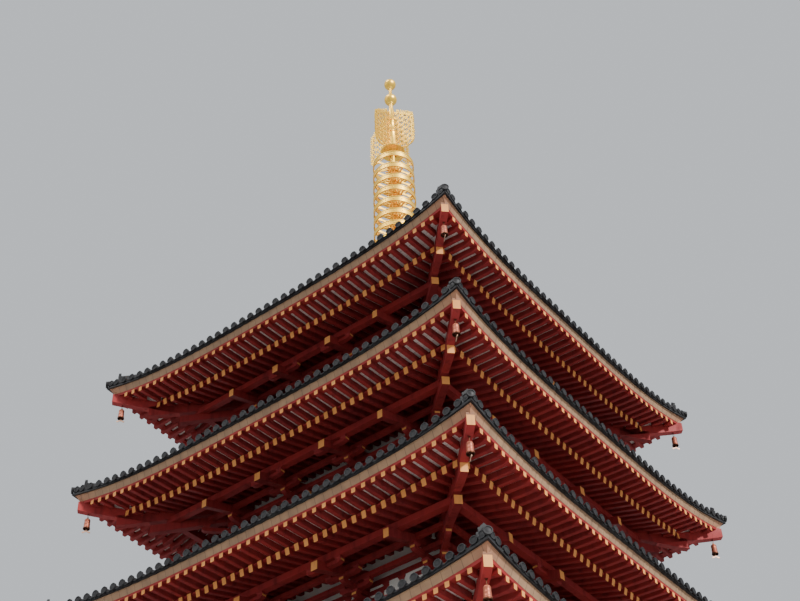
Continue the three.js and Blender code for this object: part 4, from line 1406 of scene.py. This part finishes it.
def lattices(storey):
    """Upright green bars, set cornerwise, in each window."""
    half, foot = storey.body_half, storey.floor + storey.window_foot
    count = storey.lattice_bars
    pitch = storey.window_width / (count + 1)
    height = storey.window_top - storey.window_foot
    bar = turned([(0, 0), (pitch * 0.36, 0), (pitch * 0.36, 1), (0, 1)], 4)
    places = []
    for centre in (-storey.mid_bay, storey.mid_bay):
        for index in range(count):
            along = centre + (index - (count - 1) / 2) * pitch
            places.append(((half - 0.055, along, foot), (0, 0, 0), (1, 1, height)))
    bars = at_places("bars", bar, [GREEN], turned_places(places), seed=110 + storey.number)
    one_piece(f"{storey.name}_window_bars", [bars])


def door_leaf(width, height, panels):
    """A framed and panelled leaf in the plane across X, its foot at 0 and its outer edge towards +Y."""
    stile = 0.09 if height > 1 else 0.05
    back, panel_face, face, inset = 0.03, 0.048, 0.062, 0.03
    shape = Shape().put(block((0.0, 0.0, 0.0), (0.035, width, height)))
    for low, high in ((0, stile), (width - stile, width)):
        shape.put(block((back, low, 0), (face, high, height)))
    pitch = (height - stile) / panels
    for rail in range(panels + 1):
        foot = rail * pitch
        shape.put(block((back, stile, foot), (face, width - stile, foot + stile)))
    for panel in range(panels):
        foot = panel * pitch + stile + inset
        top = foot + pitch - stile - 2 * inset
        shape.put(block((back, stile + inset, foot), (panel_face, width - stile - inset, top)))
    return shape


def door_fittings(width, height):
    """Strap hinges, a pull ring and nail heads."""
    low, high, middle = height * 0.12, height * 0.84, height * 0.48
    near_edge = width * 0.1
    shape = Shape()
    for foot in (low, high):
        shape.put(block((0.058, width * 0.45, foot), (0.068, width, foot + 0.06)))
    boss = facing_out(turned([(0, 0), (0.03, 0), (0.026, 0.014), (0, 0.022)], 10))
    for centre in (low + 0.03, high + 0.03, middle):
        shape.put(boss, Matrix.Translation((0.064, near_edge, centre)))
    ring = facing_out(hoop([(0.05, -0.006), (0.062, -0.006), (0.062, 0.006), (0.05, 0.006)], 16))
    return shape.put(ring, Matrix.Translation((0.07, near_edge, middle - 0.05)))


def doors(storey):
    """Shut double doors in the middle bay of each side."""
    half, floor = storey.body_half, storey.floor
    face = half - WALL_SETBACK + 0.001
    foot = floor + storey.sill_top + 0.003
    top = floor + storey.head_foot - 0.003 if storey.ground else storey.eave + COLUMN_TOP - 0.225
    width = storey.door_width / 2 - 0.004
    leaf = door_leaf(width, top - foot, storey.door_panels)
    fittings = door_fittings(width, top - foot)
    flip = Matrix.Diagonal((1, -1, 1, 1))
    pair = Shape()
    pair_fittings = Shape()
    for made, source in ((pair, leaf), (pair_fittings, fittings)):
        made.put(source, Matrix.Translation((face, 0.002, foot)))
        other = Shape().put(source, flip)
        other.faces = [tuple(reversed(corners)) for corners in other.faces]
        made.put(other, Matrix.Translation((face, -0.002, foot)))
    if storey.ground:
        for turn, side in enumerate(SIDES):
            spin = Matrix.Rotation(turn * QUARTER, 4, "Z")
            plain_piece(f"{side}_door_leaves", Shape().put(pair, spin), [DEEP_RED],
                        [f"{side}_door_a", f"{side}_door_b"])
            plain_piece(f"{side}_door_fittings", Shape().put(pair_fittings, spin), [BLACK])
    else:
        leaves = Shape().on_four_sides(pair)
        plain_piece(f"{storey.name}_door_leaves", leaves, [DEEP_RED])
        fitted = Shape().on_four_sides(pair_fittings)
        plain_piece(f"{storey.name}_door_fittings", fitted, [BLACK])


# Balconies


def balcony(storey):
    """The deck with its joists, and the plastered waist between it and the roof below."""
    below = storeys[storey.number - 2]
    half, floor = storey.body_half, storey.floor
    edge = half + 0.95
    planks = level_ring(0.38, edge - 0.07, floor - 0.055, floor)
    plain_piece(f"{storey.name}_balcony_planks", planks, [DECKING], [f"{storey.name}_floor"])
    beams = Shape().put(level_ring(edge - 0.1, edge, floor - 0.12, floor + 0.006))
    beams.put(level_ring(half + 0.36, half + 0.54, floor - 0.19, floor - 0.118))
    beams.put(level_ring(half + 0.37, half + 0.53, floor - 0.52, floor - 0.4))
    count, pitch = count_and_pitch(edge - 0.35, 0.3)
    joist = rafter(0.08, 0.065, 0.008)
    joist_foot = floor - 0.119
    joists = row("joists", joist, [RED, PALE_END], count, pitch, edge - 0.03, joist_foot,
                 inner=(half + 0.45, joist_foot, 0.0, 0.0), clearance=0.1, seed=120 + storey.number)
    parts = [plain("beams", beams, [RED]), joists]
    one_piece(f"{storey.name}_balcony_beams", parts)
    ledge = below.eave + base_foot_at(below, below.body_half - 0.25) + 0.142
    waist = level_ring(half + 0.4, half + 0.5, ledge, floor - 0.1)
    plain_piece(f"{storey.name}_balcony_waist", waist, [PLASTER])


def railing(storey):
    """Rails on posts and struts. The round top rail turns up at its ends."""
    half, floor = storey.body_half, storey.floor
    line = half + 0.85
    shape = Shape()
    shape.put(level_ring(line - 0.05, line + 0.05, floor + 0.01, floor + 0.1))
    shape.put(level_ring(line - 0.03, line + 0.03, floor + 0.38, floor + 0.43))
    steps, sides, radius = 24, 8, 0.036
    path = []
    for step in range(steps + 1):
        share = -1 + 2 * step / steps
        path.append((line, share * (line + 0.17), floor + 0.68 + 0.045 * abs(share) ** 20))
    angles = [2 * math.pi * side / sides for side in range(sides)]
    top_rail = swept(path, [(radius * math.cos(angle), radius * math.sin(angle)) for angle in angles])
    top_rail.marks[0] = top_rail.marks[-1] = 1
    shape.on_four_sides(top_rail)
    for foot, height in ((0.01, 0.09), (0.38, 0.05)):
        for way in (-1, 1):
            low, high = sorted((way * (line + 0.03), way * (line + 0.14)))
            stub = block((line - 0.03, low, floor + foot), (line + 0.03, high, floor + foot + height))
            shape.on_four_sides(stub)
    post = Shape().put(block((-0.035, -0.035, 0.09), (0.035, 0.035, 0.585)))
    post.put(moved(bearing_block(0.12, 0.07), z=0.583))
    strut = block((-0.026, -0.026, 0.09), (0.026, 0.026, 0.39))
    edges = [-line, -BAY_SPLIT * half, BAY_SPLIT * half, line]
    posts = turned_places([upright((line, along, floor)) for along in edges[:-1]])
    struts = []
    for low, high in zip(edges, edges[1:]):
        gaps = round((high - low) / 0.36)
        struts += [upright((line, low + (high - low) * index / gaps, floor)) for index in range(1, gaps)]
    parts = [plain("bars", shape, [RED, PALE_END], smooth=40),
             at_places("posts", post, [RED], posts, seed=130 + storey.number),
             at_places("struts", strut, [RED], turned_places(struts), seed=140 + storey.number)]
    one_piece(f"{storey.name}_balcony_railing", parts, [f"{storey.name}_railing"])


# Podium


def coping_stone(width):
    """One coping stone, with its outer top edge taken off."""
    outline = [(-width, 0.0), (0.0, 0.0), (0.0, COPING_HEIGHT - 0.02), (-0.02, COPING_HEIGHT),
               (-width, COPING_HEIGHT)]
    return prism(outline, -width / 2, width / 2)


def podium():
    """Faced with pilasters under a coping, paved, and with a base stone under each column."""
    half, height = PODIUM_HALF, PODIUM_HEIGHT
    body_top = height - COPING_HEIGHT
    core = block((-half + 0.03, -half + 0.03, 0.0), (half - 0.03, half - 0.03, body_top + 0.02))
    core.put(level_ring(half - 0.2, half + 0.055, 0.0, 0.17))
    count, pitch = count_and_pitch(half - 0.1, 1.04)
    pilaster = block((-0.1, -0.09, 0.165), (0.0, 0.09, body_top + 0.01))
    reach = half + COPING_REACH
    stones_a_side, joint = 10, 0.008
    width = reach * 2 / stones_a_side
    inner = reach - width
    corner = block((inner + joint / 2, inner + joint / 2, body_top), (reach, reach, height))
    stones = [plain("core", core, [STONE]),
              row("pilasters", pilaster, [STONE], count, pitch, half + 0.022, 0.0, seed=150),
              row("coping", coping_stone(width - joint), [STONE], stones_a_side - 2, width, reach, body_top,
                  seed=151),
              plain("corner_stones", Shape().on_four_sides(corner), [STONE])]
    one_piece("podium_stones", stones, ["podium"])
    paved = block((-inner, -inner, body_top), (inner, inner, height - 0.004))
    plain_piece("podium_paving", paved, [PAVING])
    base = turned([(0, 0), (0.36, 0), (0.36, 0.02), (0.33, 0.045), (0.3, 0.05), (0, 0.05)], 24)
    places = column_places(storeys[0].body_half, height - 0.004)
    bases = at_places("bases", base, [STONE], places, seed=152, smooth=40)
    one_piece("column_base_stones", [bases])


# Finial. Heights are above the top storey's eave line.


def finial_base(level):
    half = 0.42 * DIAGONAL
    profile = [(0, 4.155), (half * 1.08, 4.155), (half * 1.08, 4.215), (half, 4.25), (half, 4.66),
               (half * 1.06, 4.69), (half * 1.06, 4.72), (half * 1.165, 4.76), (half * 1.165, 4.84),
               (0, 4.84)]
    shape = turned([(radius, level + height) for radius, height in profile], 4, QUARTER / 2)
    post = block((0.41, -0.03, level + 4.24), (0.435, 0.03, level + 4.67))
    panel = block((0.41, -0.1, level + 4.3), (0.428, 0.1, level + 4.6))
    for along in (-0.38, -0.13, 0.13, 0.38):
        shape.on_four_sides(moved(post, y=along))
    for along in (-0.255, 0.0, 0.255):
        shape.on_four_sides(moved(panel, y=along))
    plain_piece("finial_base_box", shape, [GILT], ["finial_box"])


def petal(width, length, curl, thick=0.012):
    """A pointed petal that stands up from the origin and curls out along +X."""
    rows, wide = 5, 3
    points = []
    for face in (0, 1):
        for index in range(rows + 1):
            share = index / rows
            spread = width / 2 * (math.sin(math.pi * (0.12 + 0.8 * share)) ** 0.7) * (1 - 0.6 * share ** 4)
            out = curl * share ** 2 + face * thick
            up = length * share * (1 - 0.15 * share)
            for way in (-1, 0, 1):
                points.append((out - abs(way) * 0.25 * spread, way * spread, up - face * 0.3 * thick))
    faces = []
    size = (rows + 1) * wide
    for index in range(rows):
        for column in range(wide - 1):
            a = index * wide + column
            faces.append((a, a + wide, a + wide + 1, a + 1))
            faces.append((size + a, size + a + 1, size + a + wide + 1, size + a + wide))
    one_edge = [index * wide for index in range(rows, -1, -1)]
    other_edge = [index * wide + 2 for index in range(rows + 1)]
    rim = [*other_edge, rows * wide + 1, *one_edge, 1]
    for here, there in zip(rim, rim[1:] + rim[:1]):
        faces.append((here, there, size + there, size + here))
    return Shape().take(points, faces)


def ring_of_places(count, radius, height, first=0.0, stretch=(1, 1, 1)):
    """Places round the axis, each facing out."""
    places = []
    for index in range(count):
        angle = first + index * 2 * math.pi / count
        point = (radius * math.cos(angle), radius * math.sin(angle), height)
        places.append((point, (0, 0, angle), stretch))
    return places


def finial_bowl(level):
    """An upturned bowl, and a lotus of two rows of petals on its neck."""
    bowl = turned([(radius, level + height) for radius, height in (
        (0, 4.842), (0.4, 4.842), (0.41, 4.87), (0.4, 4.9), (0.385, 4.92), (0.37, 5.0), (0.32, 5.1),
        (0.24, 5.18), (0.19, 5.21), (0.2, 5.235), (0.17, 5.26), (0.16, 5.3), (0.19, 5.36), (0.27, 5.45),
        (0.33, 5.52), (0.34, 5.6), (0.3, 5.64), (0, 5.64))], 32)
    places = ring_of_places(12, 0.2, level + 5.3) + ring_of_places(12, 0.27, level + 5.36, math.pi / 12)
    petals = at_places("petals", petal(0.17, 0.27, 0.17), [GILT], places, seed=160, smooth=50)
    parts = [plain("bowl", bowl, [GILT], smooth=40), petals]
    one_piece("finial_bowl_and_lotus", parts, ["finial_bowl"])


RINGS = 9
RING_TOP = 10.464
RING_STEP = 0.561
RING_HALF_HEIGHT = 0.104
RING_THICKNESS = 0.026
SHAFT_TOP = 11.19


def ring_hoop(radius, centre):
    """The hoop of one ring, with a bead along both of its edges."""
    low, high = centre - RING_HALF_HEIGHT, centre + RING_HALF_HEIGHT
    inner, bead = radius - RING_THICKNESS, radius + 0.012
    return hoop([(inner, low), (bead, low), (bead, low + 0.022), (radius, low + 0.03),
                 (radius, high - 0.03), (bead, high - 0.022), (bead, high), (inner, high)], 56)


def ring_hub(centre):
    """The collar that carries a ring's spokes, and the cup below it."""
    collar = hoop([(radius, centre + height) for radius, height in (
        (0.07, -0.05), (0.2, -0.05), (0.21, 0), (0.2, 0.05), (0.07, 0.05))], 20)
    cup = turned([(radius, centre + height) for radius, height in (
        (0.0, -0.32), (0.14, -0.32), (0.16, -0.295), (0.13, -0.27), (0.15, -0.19), (0.2, -0.08),
        (0.21, -0.05), (0.0, -0.05))], 20)
    return collar.put(cup)


def finial_rings(level):
    """Nine rings on their shaft, each with spokes, studs, and ribs and petals on its cup."""
    shape = Shape()
    spokes, petals, studs, ribs = [], [], [], []
    for index in range(RINGS):
        centre = level + RING_TOP - index * RING_STEP
        radius = 0.69 + 0.045 * index / (RINGS - 1)
        shape.put(ring_hoop(radius, centre)).put(ring_hub(centre))
        spoke_length = radius - RING_THICKNESS + 0.01
        spokes += ring_of_places(8, 0.0, centre, math.pi / 8, stretch=(spoke_length, 1, 1))
        ribs += ring_of_places(12, 0.15, centre - 0.265)
        petals += ring_of_places(12, 0.15, centre - 0.26, math.pi / 12)
        studs += ring_of_places(16, radius - 0.002, centre, math.pi / 16)
    shaft = [(0, 5.642), (0.08, 5.642), (0.08, SHAFT_TOP), (0, SHAFT_TOP)]
    shape.put(turned([(radius, level + height) for radius, height in shaft], 20))
    arm = [(0.12, -0.075), (0.5, -0.05), (0.68, -0.034), (0.8, -0.052), (0.9, -0.05), (1.0, -0.1)]
    spoke = prism(arm + [(out, -side) for out, side in arm[::-1]], -0.014, 0.014)
    rib = prism([(0.0, 0.0), (0.022, 0.0), (0.026, 0.1), (0.066, 0.2), (0.0, 0.2)], -0.01, 0.01)
    rib = Shape().put(rib, Matrix.Rotation(QUARTER, 4, "X"))
    stud = facing_out(turned([(0, 0), (0.02, 0), (0.018, 0.014), (0, 0.022)], 8))
    parts = [plain("rings", shape, [GILT], smooth=40),
             at_places("spokes", spoke, [GILT], spokes, seed=161),
             at_places("petals", petal(0.06, 0.2, 0.11), [GILT], petals, seed=162, smooth=50),
             at_places("ribs", rib, [GILT], ribs, seed=165),
             at_places("studs", stud, [GILT], studs, seed=163, smooth=50)]
    one_piece("finial_nine_rings", parts, ["finial_rings"])


FLAME_EDGE = [(0.34, 11.25), (0.62, 11.21), (0.84, 11.22), (0.89, 11.34), (0.905, 11.6), (0.9, 11.95),
              (0.89, 12.3), (0.875, 12.64), (0.68, 12.84), (0.42, 13.08), (0.13, 13.34)]
FLAME_MIDDLE = 12.0


def along_edge(share):
    """A point on the outer edge of a flame fin, from its foot at 0 to its tip at 1."""
    spot = share * (len(FLAME_EDGE) - 1)
    index = min(int(spot), len(FLAME_EDGE) - 2)
    part = spot - index
    (x0, z0), (x1, z1) = FLAME_EDGE[index], FLAME_EDGE[index + 1]
    return x0 + (x1 - x0) * part, z0 + (z1 - z0) * part


def strand(start, bend, end, width, steps, half_thickness=0.014):
    """A curved flat bar in the plane of a fin, thin at its end."""
    left = []
    right = []
    for step in range(steps + 1):
        share = step / steps
        rest = 1 - share
        x, z = [rest ** 2 * a + 2 * share * rest * b + share ** 2 * c for a, b, c in zip(start, bend, end)]
        dx, dz = [rest * (b - a) + share * (c - b) for a, b, c in zip(start, bend, end)]
        size = math.hypot(dx, dz) or 1.0
        half = width / 2 * (1 - 0.55 * share)
        left.append((x - dz / size * half, z + dx / size * half))
        right.append((x + dz / size * half, z - dx / size * half))
    return prism(right + left[::-1], -half_thickness, half_thickness)


def flame_fin():
    """An openwork fin: rows of flame tongues that lean out from the shaft, and a pointed edge."""
    shape = Shape()
    rng = np.random.default_rng(7)
    columns, column_pitch, tongue_pitch = 8, 0.1, 0.125
    for column in range(columns):
        out = 0.15 + column * column_pitch
        foot = 11.32 + 0.1 * math.exp(-out / 0.2)
        head = 13.46 - 0.9 * out
        for index in range(int((head - foot) / tongue_pitch)):
            z = foot + (index + 0.5 * (column % 2)) * tongue_pitch
            sway = 0.02 * float(rng.random())
            way = 1 if (index + column) % 2 else -1
            tip = (out + 0.075 - sway, z + 0.15)
            shape.put(strand((out - 0.055, z - 0.01), (out + way * 0.07, z + 0.03), tip, 0.05, 4))
    bars, inset = 24, 0.03
    edge = [along_edge(step / bars) for step in range(bars + 1)]
    for (x0, z0), (x1, z1) in zip(edge, edge[1:]):
        middle = ((x0 + x1) / 2 - inset, (z0 + z1) / 2)
        shape.put(strand((x0 - inset, z0), middle, (x1 - inset, z1), 0.034, 2, 0.015))
    spikes = 34
    for index in range(spikes):
        x, z = along_edge(0.1 + 0.86 * index / (spikes - 1))
        reach = 0.06 + 0.03 * float(rng.random())
        size = math.hypot(x, z - FLAME_MIDDLE)
        tip = (x + reach * x / size, z + 0.05 + reach * (z - FLAME_MIDDLE) / size)
        shape.put(strand((x - 0.05, z - 0.04), (x + 0.02, z - 0.03), tip, 0.055, 3))
    return shape


def finial_flames(level):
    """Four fins on a sleeve with two grooved collars, over a ring of petals."""
    sleeve = turned([(radius, level + height) for radius, height in (
        (0, SHAFT_TOP), (0.13, SHAFT_TOP), (0.16, 11.2), (0.3, 11.215), (0.41, 11.235), (0.425, 11.26),
        (0.41, 11.29), (0.27, 11.3), (0.22, 11.34), (0.2, 11.5), (0.165, 11.9), (0.145, 12.2),
        (0.15, 12.22), (0.15, 12.25), (0.1, 12.255), (0.1, 12.3), (0.145, 12.305), (0.145, 12.34),
        (0.128, 12.36), (0.126, 12.8), (0.142, 12.82), (0.142, 12.85), (0.095, 12.855), (0.095, 12.9),
        (0.138, 12.905), (0.138, 12.94), (0.124, 12.96), (0.12, 13.4), (0.1, 13.46), (0.09, 13.58),
        (0, 13.58))], 28)
    fins = moved(Shape().on_four_sides(flame_fin()), z=level)
    places = ring_of_places(12, 0.12, level + 11.08)
    petals = at_places("petals", petal(0.12, 0.16, 0.15), [GILT], places, seed=164, smooth=50)
    parts = [plain("sleeve", sleeve, [GILT], smooth=40), plain("fins", fins, [GILT]), petals]
    one_piece("finial_flame_fins", parts, ["finial_flames"])


def ball(radius, centre, steps=16):
    """The outline of a ball without its poles, as (radius, height) points from foot to top."""
    angles = [math.pi * step / steps for step in range(1, steps)]
    return [(radius * math.sin(angle), centre - radius * math.cos(angle)) for angle in angles]


def finial_jewels(level):
    """Two balls on the shaft, with a collar below each."""
    upper_centre = 14.963
    lower = [(radius, height) for radius, height in ball(0.225, 14.1) if radius > 0.075]
    upper = [(radius, height) for radius, height in ball(0.211, upper_centre)
             if radius > 0.065 or height > upper_centre]
    profile = [(0, 13.581), (0.075, 13.581), (0.072, 13.84), (0.1, 13.86), (0.1, 13.885), *lower[1:-1],
               (0.085, 14.31), (0.09, 14.33), (0.06, 14.36), (0.055, 14.7), (0.08, 14.72), (0.085, 14.745),
               *upper[1:], (0, 15.174)]
    shape = turned([(radius, level + height) for radius, height in profile], 32)
    plain_piece("finial_jewel_balls", shape, [GILT], ["finial_jewels"], smooth=50)


# Everything is built storey by storey.

for storey in storeys:
    rafters(storey)
    eave_beams(storey)
    soffit_boards(storey)
    eave_fascia(storey)
    bells(storey)
    tiled_slopes(storey)
    eave_tiles(storey)
    hip_ridges(storey)
    brackets(storey)
    storey_frame(storey)
    lattices(storey)
    doors(storey)
    if not storey.ground:
        balcony(storey)
        railing(storey)

podium()
for finial_part in (finial_base, finial_bowl, finial_rings, finial_flames, finial_jewels):
    finial_part(top_storey.eave)


def dress(node, material):
    """Gives a CAD node that stays a worked-out material."""
    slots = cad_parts[node].data.materials
    slots.clear()
    slots.append(material)


for storey in storeys:
    dress(f"{storey.name}_walls", PLASTER)
for side in SIDES:
    dress(f"{side}_steps", STONE)
dress("heart_pillar", TIMBER)


# Studio


def studio():
    """A pale floor, an overcast sky and four soft suns. Each has its aim, strength and width in degrees."""
    pale = Finish("studio_floor")
    tone = pale.noise(0.5, 2.0)
    floor_paint = pale.finished(pale.mixed(tone * 0.2, colour("#e6e6e4"), colour("#dcdcda")), 0.8)
    radius, top = 21.0, -0.002
    floor = turned([(0, -0.03), (radius, -0.03), (radius, top), (0, top)], 96)
    plain("studio_floor", floor, [floor_paint])
    world = bpy.data.worlds.new("studio")
    world.use_nodes = True
    bpy.context.scene.world = world
    background = world.node_tree.nodes["Background"]
    background.inputs["Color"].default_value = (0.86, 0.9, 0.95, 1)
    background.inputs["Strength"].default_value = 0.75
    for name, aim, strength, width in (
            ("key", (-0.95, 0.22, -0.6), 5.6, 6), ("fill", (0.75, 0.9, -0.35), 0.4, 40),
            ("sky", (0.2, 0.6, -1.0), 1.8, 25), ("lift", (0.0, 0.3, 1.0), 0.15, 60)):
        light = bpy.data.lights.new(name, "SUN")
        light.energy = strength
        light.angle = math.radians(width)
        lamp = bpy.data.objects.new(name, light)
        lamp.rotation_mode = "QUATERNION"
        lamp.rotation_quaternion = Vector(aim).to_track_quat("-Z", "Y")
        bpy.context.scene.collection.objects.link(lamp)


def camera():
    """The photograph's viewing angle: from below the front right corner, looking steeply up."""
    focal_pixels, image_width = 1393.956, 800
    eye_point = (19.1974, -25.9369, -4.0463)
    heading, pitch, roll = 0.636011, 0.739213, 0.041725
    lens = bpy.data.cameras.new("camera")
    lens.sensor_width = 36.0
    lens.lens = focal_pixels * lens.sensor_width / image_width
    lens.clip_end = 400.0
    turn = Matrix.Rotation(heading, 4, "Z") @ Matrix.Rotation(QUARTER + pitch, 4, "X")
    eye = bpy.data.objects.new("camera", lens)
    eye.matrix_world = Matrix.Translation(eye_point) @ turn @ Matrix.Rotation(-roll, 4, "Z")
    bpy.context.scene.collection.objects.link(eye)
    bpy.context.scene.camera = eye


studio()
camera()
